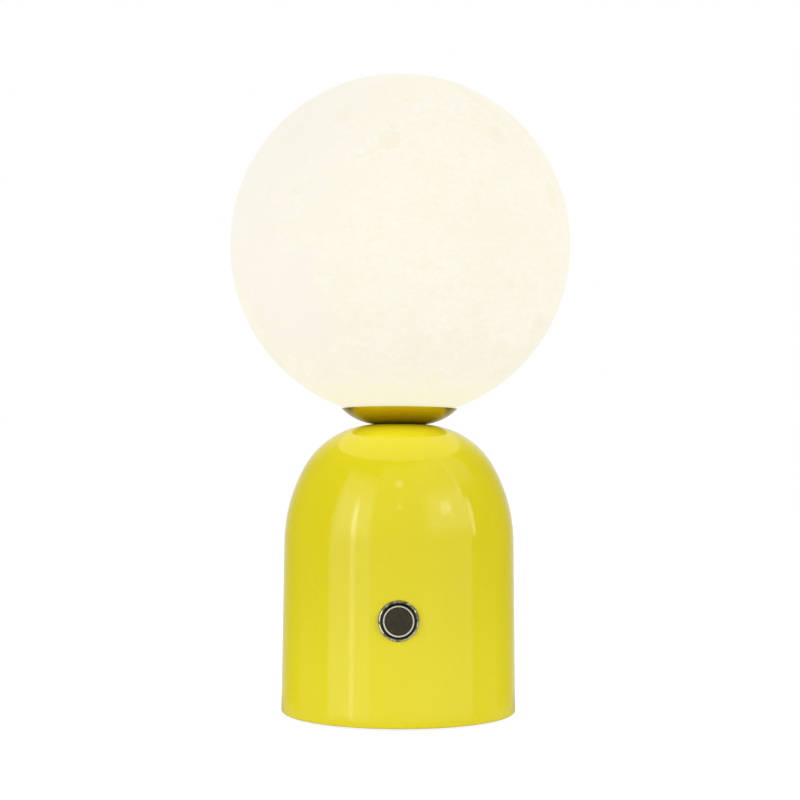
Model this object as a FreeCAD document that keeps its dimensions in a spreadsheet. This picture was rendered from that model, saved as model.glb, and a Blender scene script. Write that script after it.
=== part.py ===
import FreeCAD, Part
import Sketcher
import math
import os
import re

# Rechargeable table lamp: a printed moon globe on a brass cup, on a glossy domed base.
# Millimetres, +Z up, origin on the table under the middle of the base, button towards -Y.

doc = FreeCAD.newDocument("table_lamp")
sizes = doc.addObject("Spreadsheet::Sheet", "sizes")

SIZES = {
    "base shell": {
        "foot_stand_off": 1.0,
        "base_height": 124.6,
        "base_bottom_radius": 50.9,
        "base_waist_radius": 50.2,
        "base_wall": 2.0,
        "dome_rise": 52.2,
        "crown_flat_radius": 10.0,
        "crown_arc_radius": 36.0,
        "base_edge_round": 0.8,
        "boss_radius": 4.5,
        "boss_height": 16.0,
    },
    "push switch": {
        "switch_height": 44.3,
        "barrel_radius": 7.5,
        "barrel_length": 15.0,
        "flange_radius": 8.3,
        "flange_height": 1.5,
        "flange_bevel": 0.5,
        "gasket_height": 0.5,
        "switch_pad_radius": 11.5,
        "switch_nut_flats": 18.0,
        "switch_nut_height": 3.0,
        "button_radius": 6.6,
        "button_ring_width": 0.9,
        "button_head_height": 2.8,
        "button_proud": 0.6,
        "button_travel": 1.5,
        "button_cap_recess": 0.15,
        "stem_radius": 2.6,
        "spring_wire_radius": 0.3,
        "spring_coil_radius": 3.6,
        "spring_length": 6.6,
        "inner_wall": 1.2,
        "bridge_height": 0.6,
        "blade_width": 2.8,
        "blade_thickness": 0.5,
        "blade_tail": 4.0,
        "blade_spread": 9.2,
    },
    "bottom": {
        "cover_recess": 0.5,
        "cover_thickness": 3.0,
        "cover_rim_height": 4.0,
        "cover_rim_wall": 1.6,
        "pad_margin": 2.3,
        "pad_width": 9.0,
        "pad_groove_depth": 0.6,
        "pad_edge_round": 0.8,
        "weight_thickness": 6.0,
        "weight_bevel": 0.8,
        "weight_bore_radius": 5.0,
    },
    "small screws": {
        "cover_screw_radius": 1.5,
        "cover_screw_head_radius": 2.6,
        "cover_screw_head_height": 1.6,
        "cover_screw_length": 12.0,
        "small_screw_radius": 1.0,
        "small_screw_head_radius": 1.9,
        "small_screw_head_height": 1.2,
        "small_screw_length": 5.0,
    },
    "battery": {
        "cell_radius": 9.2,
        "cell_length": 65.0,
        "cell_spacing": 20.0,
        "cell_cap_radius": 4.5,
        "cell_cap_height": 1.0,
        "cell_shrink_groove": 0.4,
        "strip_width": 7.0,
        "strip_thickness": 0.3,
        "strip_tab_width": 4.0,
        "tray_plate": 2.0,
        "tray_wall": 1.6,
        "tray_cup_depth": 8.0,
        "tray_reach": 37.0,
        "spine_width": 16.0,
        "spine_thickness": 4.0,
        "tray_screw_spread": 58.0,
        "cap_skirt": 4.0,
        "cell_edge_round": 0.8,
        "clip_height": 4.0,
        "clip_width": 6.0,
    },
    "control board": {
        "board_width": 26.0,
        "board_thickness": 1.2,
        "board_post_height": 4.0,
        "board_post_radius": 2.2,
        "socket_width": 8.94,
        "socket_height": 3.26,
        "socket_depth": 7.4,
        "socket_wall": 0.3,
        "tongue_width": 6.7,
        "tongue_thickness": 0.7,
        "socket_recess": 1.0,
        "tongue_root": 1.2,
        "port_frame_wall": 1.2,
        "port_frame_depth": 2.8,
        "chip_width": 5.0,
        "chip_height": 1.0,
        "coil_width": 6.0,
        "coil_height": 3.0,
        "capacitor_radius": 2.0,
        "capacitor_height": 5.0,
        "connector_width": 5.0,
        "connector_height": 4.0,
        "connector_pitch": 9.0,
    },
    "hanger": {
        "tube_radius": 5.0,
        "tube_bore_radius": 3.4,
        "tube_tail": 6.0,
        "tube_bevel": 0.6,
        "nut_flats": 14.0,
        "nut_height": 4.0,
        "washer_radius": 9.5,
        "washer_thickness": 1.5,
        "lock_washer_radius": 8.0,
        "lock_washer_thickness": 1.0,
    },
    "brass cup": {
        "cup_flat_radius": 9.0,
        "cup_arc_radius": 23.0,
        "cup_height": 6.9,
        "cup_wall": 0.9,
    },
    "globe": {
        "globe_radius": 75.0,
        "globe_belt": 0.8,
        "globe_wall": 2.0,
        "neck_radius": 22.6,
        "neck_wall": 1.8,
        "neck_height": 8.0,
        "bayonet_ring_wall": 2.1,
        "tab_reach": 3.0,
        "tab_height": 2.0,
    },
    "globe fitter": {
        "fitter_hub_height": 2.4,
        "fitter_floor": 3.5,
        "fitter_height": 11.2,
        "fitter_pocket_radius": 11.0,
    },
    "light": {
        "led_board_thickness": 1.6,
        "led_board_hole_radius": 1.6,
        "led_width": 2.8,
        "led_height": 0.8,
        "led_ring_radius": 8.2,
        "diffuser_wall": 1.1,
        "diffuser_rise": 11.0,
    },
    "leads": {
        "lead_radius": 0.9,
    },
    "angles and counts": {
        "stop_rib_angle": 6.0,
        "lug_angle": 46.0,
        "tab_angle": 44.0,
        "tab_start_angle": 1.0,
        "boss_count": 3,
        "bayonet_count": 3,
        "led_count": 8,
        "spring_turn_count": 4.5,
    },
    "clearances": {
        "running_gap": 0.3,
        "slip_gap": 0.1,
        "overrun": 1.0,
    },
}

# Places and lengths that follow from the sizes above.
PLACES = {
    "crown_z": "foot_stand_off + base_height",
    "waist_z": "crown_z - dome_rise",
    "dome_span": "base_waist_radius - crown_flat_radius",
    "shoulder_arc_radius": "(dome_span ^ 2 + dome_rise ^ 2 - 2 * dome_rise * crown_arc_radius)"
    " / (2 * (dome_span - crown_arc_radius))",
    "arc_gap": "shoulder_arc_radius - crown_arc_radius",
    "arc_lean": "(shoulder_arc_radius - dome_span) / arc_gap",
    "arc_lift": "(dome_rise - crown_arc_radius) / arc_gap",
    "base_inner_radius": "base_waist_radius - base_wall",
    "boss_circle_radius": "base_inner_radius - boss_radius + base_wall / 2",
    "cover_z": "foot_stand_off + cover_recess",
    "cover_top_z": "cover_z + cover_thickness",
    "cover_radius": "base_bottom_radius - base_wall - running_gap",
    "cover_rim_radius": "boss_circle_radius - boss_radius - running_gap",
    "pad_outer_radius": "boss_circle_radius - cover_screw_head_radius - pad_margin",
    "weight_z": "cover_top_z",
    "weight_radius": "cover_rim_radius - cover_rim_wall - running_gap",
    "tray_z": "weight_z + weight_thickness",
    "cell_z": "tray_z + tray_plate + strip_thickness",
    "cell_top_z": "cell_z + cell_length",
    "cell_y": "-spine_thickness",
    "cap_z": "cell_top_z + cell_cap_height + strip_thickness",
    "spine_y": "cell_y + cell_radius + running_gap",
    "spine_rear_y": "spine_y + spine_thickness",
    "spine_mid_y": "spine_y + spine_thickness / 2",
    "cap_screw_x": "(spine_width / 2 - small_screw_head_radius)",
    "lead_y": "board_front_y + running_gap + connector_width / 2",
    "strip_tab_x": "spine_width / 2 + strip_tab_width / 2 + 2 * running_gap",
    "strip_riser_y": "board_front_y + tray_wall",
    "chassis_screw_length": "tray_plate + weight_thickness + cover_thickness / 2",
    "cup_inner_radius": "cell_radius + running_gap",
    "switch_seat_radius": "flange_radius + running_gap",
    "switch_seat": "sqrt(base_waist_radius ^ 2 - switch_seat_radius ^ 2)",
    "switch_pad_face": "sqrt(base_inner_radius ^ 2 - switch_pad_radius ^ 2) - running_gap",
    "button_face": "gasket_height + flange_height + button_proud",
    "button_foot": "button_face - button_head_height",
    "well_floor": "button_foot - button_travel - running_gap",
    "partition_foot": "well_floor - inner_wall",
    "bridge_top": "partition_foot - running_gap",
    "bridge_foot": "bridge_top - bridge_height",
    "stem_foot": "bridge_foot - inner_wall",
    "spring_foot": "bridge_foot - slip_gap - spring_length",
    "contact_top": "bridge_foot - button_travel - running_gap",
    "plug_top": "spring_foot - slip_gap",
    "blade_foot": "-barrel_length - inner_wall - blade_tail",
    "chamber_radius": "barrel_radius - inner_wall",
    "board_z": "tray_z + tray_plate + board_post_height",
    "board_top_z": "board_z + board_thickness",
    "board_front_y": "spine_rear_y + running_gap",
    "board_post_x": "board_width / 2 - board_post_radius - overrun",
    "board_post_front_y": "lead_y + connector_width / 2 + board_post_radius + running_gap",
    "board_post_rear_y": "sqrt((tray_reach - board_post_radius - overrun) ^ 2 - board_post_x ^ 2)",
    "socket_mouth_y": "base_waist_radius - socket_recess",
    "board_rear_y": "sqrt((base_inner_radius - running_gap) ^ 2 - (board_width / 2) ^ 2)",
    "socket_z": "board_top_z + socket_height / 2",
    "cup_floor_z": "crown_z + cup_wall",
    "rim_z": "crown_z + cup_height",
    "rim_radius": "cup_flat_radius + sqrt(cup_arc_radius ^ 2 - (cup_arc_radius - cup_height) ^ 2)",
    "rim_inner_radius": "cup_flat_radius"
    " + sqrt((cup_arc_radius - cup_wall) ^ 2 - (cup_arc_radius - cup_height) ^ 2)",
    "globe_z": "rim_z + sqrt((globe_radius + running_gap) ^ 2 - rim_inner_radius ^ 2)",
    "globe_inner_radius": "globe_radius - globe_wall",
    "neck_drop": "sqrt(globe_radius ^ 2 - neck_radius ^ 2)",
    "ring_z": "globe_z - neck_drop + running_gap",
    "ring_radius": "neck_radius - slip_gap",
    "ring_inner_radius": "ring_radius - bayonet_ring_wall",
    "lug_radius": "ring_inner_radius - running_gap",
    "fitter_radius": "ring_inner_radius - tab_reach - running_gap",
    "fitter_top_z": "cup_floor_z + fitter_height",
    "tab_z": "fitter_top_z - 2 * tab_height - running_gap",
    "upper_nut_z": "cup_floor_z + fitter_floor + lock_washer_thickness",
    "tube_top_z": "upper_nut_z + nut_height + overrun",
    "washer_z": "crown_z - base_wall - washer_thickness",
    "lower_nut_z": "washer_z - lock_washer_thickness - nut_height",
    "tube_z": "lower_nut_z - tube_tail",
    "led_board_radius": "fitter_radius - diffuser_wall - slip_gap",
    "led_screw_circle": "led_board_radius - small_screw_head_radius - slip_gap",
    "led_board_top_z": "fitter_top_z + led_board_thickness",
    "diffuser_skirt": "led_board_thickness + led_height + diffuser_wall",
    "diffuser_cap": "diffuser_rise - diffuser_skirt",
    "diffuser_arc_radius": "(fitter_radius ^ 2 + diffuser_cap ^ 2) / (2 * diffuser_cap)",
}


def formula(text):
    """Writes named sizes and places out as an expression on the sizes sheet."""

    def name_to_cell(match):
        word = match.group(0)
        if word in PLACES:
            return "(" + formula(PLACES[word]) + ")"
        return "sizes." + word if word in cells else word

    return re.sub(r"[a-z][a-z_0-9]*", name_to_cell, text)


def number(text):
    return float(sizes.evalExpression(formula(text)))


def fill_sheet():
    """One row for each driving size: its piece, its name and its value."""
    row = 1
    for piece, values in SIZES.items():
        for name, value in values.items():
            sizes.set(f"A{row}", piece)
            sizes.set(f"B{row}", name)
            sizes.set(f"C{row}", str(value))
            sizes.setAlias(f"C{row}", name)
            cells.add(name)
            row += 1
    doc.recompute()


# Helpers for bodies, sketches and features

def bind(thing, **formulas):
    for name, text in formulas.items():
        thing.setExpression(name, formula(text))


def place(thing, x="0", y="0", z="0", turn=None):
    """Puts a piece at a place given in named sizes; turn is (axis, degrees)."""
    rotation = FreeCAD.Rotation(*turn) if turn else FreeCAD.Rotation()
    thing.Placement = FreeCAD.Placement(FreeCAD.Vector(number(x), number(y), number(z)), rotation)
    for axis, text in (("x", x), ("y", y), ("z", z)):
        thing.setExpression("Placement.Base." + axis, formula(text))


def new_body(name, alone=True):
    """A body of its own; one that isn't alone goes into a group of identical pieces."""
    body = doc.addObject("PartDesign::Body", name)
    body.Label = name
    if alone:
        kept.append(body)
    return body


def new_sketch(body, role, name, offset="0"):
    """A sketch on one of the body's own origin planes, raised by offset along the plane's normal."""
    plane = [feature for feature in body.Origin.OriginFeatures if feature.Role == role][0]
    sketch = body.newObject("Sketcher::SketchObject", body.Name + "_" + name)
    sketch.AttachmentSupport = (plane, [""])
    sketch.MapMode = "FlatFace"
    sketch.AttachmentOffset = FreeCAD.Placement(
        FreeCAD.Vector(0, 0, number(offset)), FreeCAD.Rotation()
    )
    sketch.setExpression("AttachmentOffset.Base.z", formula(offset))
    return sketch


def hold(sketch, shape, end, kind, text):
    """Holds one coordinate of a point of the shape at a place in named sizes."""
    if text == "0":
        axis = -2 if kind == "DistanceX" else -1
        sketch.addConstraint(Sketcher.Constraint("PointOnObject", shape, end, axis))
    else:
        held = Sketcher.Constraint(kind, -1, 1, shape, end, number(text))
        sketch.setExpression(f"Constraints[{sketch.addConstraint(held)}]", formula(text))


def lock(sketch, shape, end, x, y):
    """Holds one end of a line or arc, or a circle's centre."""
    hold(sketch, shape, end, "DistanceX", x)
    hold(sketch, shape, end, "DistanceY", y)


def hold_radius(sketch, shape, radius):
    index = sketch.addConstraint(Sketcher.Constraint("Radius", shape, number(radius)))
    sketch.setExpression(f"Constraints[{index}]", formula(radius))


def arc_through(start, end, radius, side):
    """The arc of that radius from start to end; its centre lies to the left for side 1."""
    chord = end - start
    across = FreeCAD.Vector(-chord.y, chord.x, 0).normalize()
    reach = math.sqrt(max(radius ** 2 - (chord.Length / 2) ** 2, 0))
    centre = start + chord * 0.5 + across * reach * side
    middle = centre - across * radius * side
    return Part.Arc(start, middle, end)


def outline(sketch, *corners):
    """A closed outline. Each corner is (x, y), or (x, y, radius, side) where an arc leads to it.

    A half circle stands on an upright chord, so its centre is held at the chord's x.
    """
    spots = [FreeCAD.Vector(number(c[0]), number(c[1]), 0) for c in corners]
    first = sketch.GeometryCount
    count = len(corners)
    reversed_arcs = set()
    for i, corner in enumerate(corners):
        start, end = spots[i - 1], spots[i]
        if len(corner) == 2:
            sketch.addGeometry(Part.LineSegment(start, end))
        else:
            sketch.addGeometry(arc_through(start, end, number(corner[2]), corner[3]))
            if sketch.getPoint(first + i, 1).distanceToPoint(start) > TOLERANCE:
                reversed_arcs.add(i)
    for i, corner in enumerate(corners):
        end_point = 1 if i in reversed_arcs else 2
        following = (i + 1) % count
        start_point = 2 if following in reversed_arcs else 1
        sketch.addConstraint(
            Sketcher.Constraint("Coincident", first + i, end_point, first + following, start_point)
        )
        lock(sketch, first + i, end_point, corner[0], corner[1])
        if len(corner) == 4:
            half_circle = spots[i].distanceToPoint(spots[i - 1]) > 2 * number(corner[2]) - TOLERANCE
            if half_circle:
                hold(sketch, first + i, 3, "DistanceX", corner[0])
            else:
                hold_radius(sketch, first + i, corner[2])


def box_outline(sketch, x0, y0, x1, y1):
    outline(sketch, (x0, y0), (x1, y0), (x1, y1), (x0, y1))


def circle(sketch, x, y, radius):
    centre = FreeCAD.Vector(number(x), number(y), 0)
    shape = sketch.addGeometry(Part.Circle(centre, FreeCAD.Vector(0, 0, 1), number(radius)))
    if x == "0" and y == "0":
        sketch.addConstraint(Sketcher.Constraint("Coincident", shape, 3, -1, 1))
    else:
        lock(sketch, shape, 3, x, y)
    hold_radius(sketch, shape, radius)


def hexagon(sketch, flats):
    corner = f"{flats} / (2 * sqrt(3))"
    outline(
        sketch,
        (f"{flats} / 2", f"-{corner}"),
        (f"{flats} / 2", corner),
        ("0", f"{flats} / sqrt(3)"),
        (f"-{flats} / 2", corner),
        (f"-{flats} / 2", f"-{corner}"),
        ("0", f"-{flats} / sqrt(3)"),
    )


def feature(body, kind, sketch, **formulas):
    made = body.newObject("PartDesign::" + kind, sketch.Name + "_" + kind.lower())
    made.Profile = sketch
    bind(made, **formulas)
    sketch.Visibility = False
    return made


def turned(body, sketch, kind="Revolution", angle=None):
    """A revolution or groove about the body's own Z axis, drawn on its XZ plane."""
    made = feature(body, kind, sketch, **({"Angle": angle} if angle else {}))
    made.ReferenceAxis = (sketch, ["V_Axis"])
    if not angle:
        made.Angle = 360
    return made


def pad(body, sketch, length):
    return feature(body, "Pad", sketch, Length=length)


def pocket(body, sketch, length, upwards=False):
    """Cuts down from the sketch, or upwards along its plane's normal."""
    made = feature(body, "Pocket", sketch, Length=length)
    made.Reversed = upwards
    return made


def around(body, features, count):
    """Repeats features evenly about the body's own Z axis."""
    made = body.newObject("PartDesign::PolarPattern", features[-1].Name + "_around")
    made.Originals = features
    made.Axis = ([line for line in body.Origin.OriginFeatures if line.Role == "Z_Axis"][0], [""])
    made.Angle = 360
    bind(made, Occurrences=count)
    body.Tip = made


def rounded(body, radius, wanted, kind="Fillet"):
    """Rounds or bevels the edges of the tip for which wanted(edge) is true."""
    doc.recompute()
    tip = body.Tip
    names = [f"Edge{i + 1}" for i, edge in enumerate(tip.Shape.Edges) if wanted(edge)]
    made = body.newObject("PartDesign::" + kind, body.Name + "_" + kind.lower())
    made.Base = (tip, names)
    bind(made, **{"Radius" if kind == "Fillet" else "Size": radius})
    return made


def ring_at(z, radius):
    """Picks the full circle of that radius at that height of the body."""

    def wanted(edge):
        curve = edge.Curve
        return (
            isinstance(curve, Part.Circle)
            and abs(curve.Center.z - number(z)) < TOLERANCE
            and abs(curve.Radius - number(radius)) < TOLERANCE
        )

    return wanted


def simple_turned(name, *corners):
    """A body made by one revolution of a closed outline of (radius, height) corners."""
    body = new_body(name)
    section = new_sketch(body, "XZ_Plane", "section")
    outline(section, *corners)
    turned(body, section)
    return body


def simple_ring(name, inner, outer, height):
    return simple_turned(name, (inner, "0"), (outer, "0"), (outer, height), (inner, height))


def keep_group(name, pieces):
    """Several separate solids of the same kind in one node."""
    group = doc.addObject("Part::Compound", name)
    group.Label = name
    group.Links = pieces
    kept.append(group)
    return group


cells = set()
kept = []
TOLERANCE = 1e-4
X_AXIS = FreeCAD.Vector(1, 0, 0)
Z_AXIS = FreeCAD.Vector(0, 0, 1)
FACING_FRONT = (X_AXIS, 90)
FACING_REAR = (Z_AXIS, 180)
SIDES = (1, -1)
ARC_SHARE = 0.45
CLIP_SHARES = (0.4, 0.8)


# Base shell

def make_base_shell():
    """The domed housing: flat crown, two tangent arcs, a drafted wall, bosses, pad and holes."""
    body = new_body("base_shell")
    section = new_sketch(body, "XZ_Plane", "section")
    inner_lean = "(crown_arc_radius - base_wall) * arc_lean"
    inner_lift = "(crown_arc_radius - base_wall) * arc_lift"
    outline(
        section,
        ("0", "crown_z"),
        ("0", "crown_z - base_wall"),
        ("crown_flat_radius", "crown_z - base_wall"),
        (
            "crown_flat_radius + " + inner_lean,
            "crown_z - crown_arc_radius + " + inner_lift,
            "crown_arc_radius - base_wall",
            -1,
        ),
        ("base_inner_radius", "waist_z", "shoulder_arc_radius - base_wall", -1),
        ("base_bottom_radius - base_wall", "foot_stand_off"),
        ("base_bottom_radius", "foot_stand_off"),
        ("base_waist_radius", "waist_z"),
        (
            "crown_flat_radius + crown_arc_radius * arc_lean",
            "crown_z - crown_arc_radius + crown_arc_radius * arc_lift",
            "shoulder_arc_radius",
            1,
        ),
        ("crown_flat_radius", "crown_z", "crown_arc_radius", 1),
    )
    turned(body, section)
    rounded(body, "base_edge_round", ring_at("foot_stand_off", "base_bottom_radius"))

    bosses = new_sketch(body, "XY_Plane", "bosses", "cover_top_z")
    circle(bosses, "0", "-boss_circle_radius", "boss_radius")
    boss = pad(body, bosses, "boss_height")
    pilots = new_sketch(body, "XY_Plane", "pilots", "cover_top_z")
    circle(pilots, "0", "-boss_circle_radius", "cover_screw_radius + slip_gap")
    pilot = pocket(body, pilots, "cover_screw_length", upwards=True)
    around(body, [boss, pilot], "boss_count")

    crown_hole = new_sketch(body, "XY_Plane", "crown_hole", "crown_z + overrun")
    circle(crown_hole, "0", "0", "tube_radius + running_gap")
    pocket(body, crown_hole, "base_wall + 2 * overrun")

    pad_face = new_sketch(body, "XZ_Plane", "switch_pad", "switch_pad_face")
    circle(pad_face, "0", "switch_height", "switch_pad_radius")
    pad(body, pad_face, "sqrt(base_waist_radius ^ 2 - switch_pad_radius ^ 2) - switch_pad_face")
    seat = new_sketch(body, "XZ_Plane", "switch_seat", "switch_seat")
    circle(seat, "0", "switch_height", "switch_seat_radius")
    pocket(body, seat, "base_wall + overrun", upwards=True)
    hole = new_sketch(body, "XZ_Plane", "switch_hole", "switch_pad_face - base_wall - overrun")
    circle(hole, "0", "switch_height", "barrel_radius + slip_gap")
    pocket(body, hole, "3 * base_wall + 2 * overrun", upwards=True)

    port = new_sketch(body, "XZ_Plane", "port", "-(base_inner_radius - overrun)")
    half_width, half_height = "socket_width / 2 + port_frame_wall", "socket_height / 2 + port_frame_wall"
    obround(port, "0", "socket_z", half_width, half_height)
    pocket(body, port, "base_wall + 3 * overrun")


def obround(sketch, x, z, half_width, half_height):
    """A slot outline with round ends."""
    straight = f"({half_width} - ({half_height}))"
    outline(
        sketch,
        (f"{x} + {straight}", f"{z} - ({half_height})"),
        (f"{x} + {straight}", f"{z} + {half_height}", half_height, 1),
        (f"{x} - {straight}", f"{z} + {half_height}"),
        (f"{x} - {straight}", f"{z} - ({half_height})", half_height, 1),
    )


# Bottom cover, foot pad and weight

def make_bottom():
    """The cover with its locating rim, the soft ring that it stands on and the steel weight."""
    cover = simple_turned(
        "bottom_cover",
        ("0", "0"),
        ("cover_radius", "0"),
        ("cover_radius", "cover_thickness"),
        ("cover_rim_radius", "cover_thickness"),
        ("cover_rim_radius", "cover_thickness + cover_rim_height"),
        ("cover_rim_radius - cover_rim_wall", "cover_thickness + cover_rim_height"),
        ("cover_rim_radius - cover_rim_wall", "cover_thickness"),
        ("0", "cover_thickness"),
    )
    groove = new_sketch(cover, "XY_Plane", "pad_groove")
    circle(groove, "0", "0", "pad_outer_radius + slip_gap")
    circle(groove, "0", "0", "pad_outer_radius - pad_width - slip_gap")
    pocket(cover, groove, "pad_groove_depth", upwards=True)
    holes = new_sketch(cover, "XY_Plane", "screw_holes")
    circle(holes, "0", "-boss_circle_radius", "cover_screw_radius + running_gap")
    hole = pocket(cover, holes, "cover_thickness", upwards=True)
    sinks = new_sketch(cover, "XY_Plane", "screw_sinks")
    circle(sinks, "0", "-boss_circle_radius", "cover_screw_head_radius + slip_gap")
    sink = pocket(cover, sinks, "cover_screw_head_height + slip_gap", upwards=True)
    around(cover, [hole, sink], "boss_count")
    taps = new_sketch(cover, "XY_Plane", "tray_taps", "cover_thickness")
    tray_screw_circles(taps, "cover_screw_radius + running_gap")
    pocket(cover, taps, "chassis_screw_length - weight_thickness - tray_plate + slip_gap")
    place(cover, z="cover_z")

    foot = simple_turned(
        "foot_pad",
        ("pad_outer_radius - pad_width", "pad_edge_round"),
        ("pad_outer_radius - pad_width + pad_edge_round", "0", "pad_edge_round", 1),
        ("pad_outer_radius - pad_edge_round", "0"),
        ("pad_outer_radius", "pad_edge_round", "pad_edge_round", 1),
        ("pad_outer_radius", "cover_z + pad_groove_depth"),
        ("pad_outer_radius - pad_width", "cover_z + pad_groove_depth"),
    )
    place(foot)

    weight = simple_turned(
        "counterweight",
        ("weight_bore_radius", "0"),
        ("weight_radius", "0"),
        ("weight_radius", "weight_thickness - weight_bevel"),
        ("weight_radius - weight_bevel", "weight_thickness"),
        ("weight_bore_radius", "weight_thickness"),
    )
    ways = new_sketch(weight, "XY_Plane", "screw_ways")
    tray_screw_circles(ways, "cover_screw_radius + running_gap")
    pocket(weight, ways, "weight_thickness", upwards=True)
    place(weight, z="weight_z")


def tray_screw_circles(sketch, radius):
    for side in SIDES:
        circle(sketch, f"{side} * tray_screw_spread / 2", "cell_y", radius)


# Chassis tray and battery

def strip_slot(body, name, floor, upwards):
    """The gap in the wall between the two cells that the contact strip lies in."""
    slot = new_sketch(body, "XY_Plane", name, floor)
    box_outline(
        slot,
        "-cell_radius / 2",
        "cell_y - strip_width / 2 - running_gap",
        "cell_radius / 2",
        "cell_y + strip_width / 2 + running_gap",
    )
    pocket(body, slot, "strip_thickness + running_gap", upwards)


def make_chassis_tray():
    """The moulded tray: plate, two cell cups, board posts, wire clips and the rear spine."""
    tray = new_body("chassis_tray")
    plate = new_sketch(tray, "XY_Plane", "plate")
    circle(plate, "0", "0", "tray_reach")
    pad(tray, plate, "tray_plate")
    for side, name in zip(SIDES, ("right", "left")):
        cup = new_sketch(tray, "XY_Plane", name + "_cup", "tray_plate")
        circle(cup, f"{side} * cell_spacing / 2", "cell_y", "cup_inner_radius + tray_wall")
        pad(tray, cup, "tray_cup_depth")
    spine = new_sketch(tray, "XY_Plane", "spine", "tray_plate")
    box_outline(spine, "-spine_width / 2", "spine_y", "spine_width / 2", "spine_rear_y")
    pad(tray, spine, "cap_z - tray_z - tray_plate")
    for side, name in zip(SIDES, ("right", "left")):
        well = new_sketch(tray, "XY_Plane", name + "_well", "tray_plate + tray_cup_depth")
        circle(well, f"{side} * cell_spacing / 2", "cell_y", "cup_inner_radius")
        pocket(tray, well, "tray_cup_depth")
    strip_slot(tray, "strip_slot", "tray_plate", upwards=True)
    notch = new_sketch(tray, "XY_Plane", "tab_notch", "tray_plate")
    box_outline(
        notch,
        "strip_tab_x - strip_tab_width / 2 - running_gap",
        "cell_y",
        "strip_tab_x + strip_tab_width / 2 + running_gap",
        "spine_rear_y",
    )
    pocket(tray, notch, "strip_thickness + running_gap", upwards=True)
    screws = new_sketch(tray, "XY_Plane", "tray_screws")
    tray_screw_circles(screws, "cover_screw_radius + running_gap")
    pocket(tray, screws, "tray_plate", upwards=True)

    posts = new_sketch(tray, "XY_Plane", "posts", "tray_plate")
    board_screw_circles(posts, "board_post_radius")
    pad(tray, posts, "board_post_height")
    pilots = new_sketch(tray, "XY_Plane", "post_pilots", "tray_plate + board_post_height")
    board_screw_circles(pilots, "small_screw_radius + slip_gap")
    pocket(tray, pilots, "small_screw_length - board_thickness + overrun")

    caps = new_sketch(tray, "XY_Plane", "spine_pilots", "cap_z - tray_z")
    cap_screw_circles(caps, "small_screw_radius + slip_gap")
    pocket(tray, caps, "small_screw_length")
    for share, name in zip(CLIP_SHARES, ("lower", "upper")):
        height = f"tray_plate + {share} * cell_length"
        clip = new_sketch(tray, "XY_Plane", name + "_clip", height)
        box_outline(clip, "-clip_width / 2", "spine_rear_y", "clip_width / 2", "lead_y + clip_width / 2")
        pad(tray, clip, "clip_height")
        channel = new_sketch(tray, "XY_Plane", name + "_channel", height)
        reach = "(lead_radius + slip_gap)"
        outline(
            channel,
            ("clip_width / 2 + overrun", f"lead_y - {reach}"),
            ("clip_width / 2 + overrun", f"lead_y + {reach}"),
            ("0", f"lead_y + {reach}"),
            ("0", f"lead_y - {reach}", reach, 1),
        )
        pocket(tray, channel, "clip_height", upwards=True)
    place(tray, z="tray_z")


def board_screw_circles(sketch, radius):
    for side in SIDES:
        for place_y in ("board_post_front_y", "board_post_rear_y"):
            circle(sketch, f"{side} * board_post_x", place_y, radius)


def cap_screw_circles(sketch, radius):
    for side in SIDES:
        circle(sketch, f"{side} * cap_screw_x", "spine_mid_y", radius)


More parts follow.
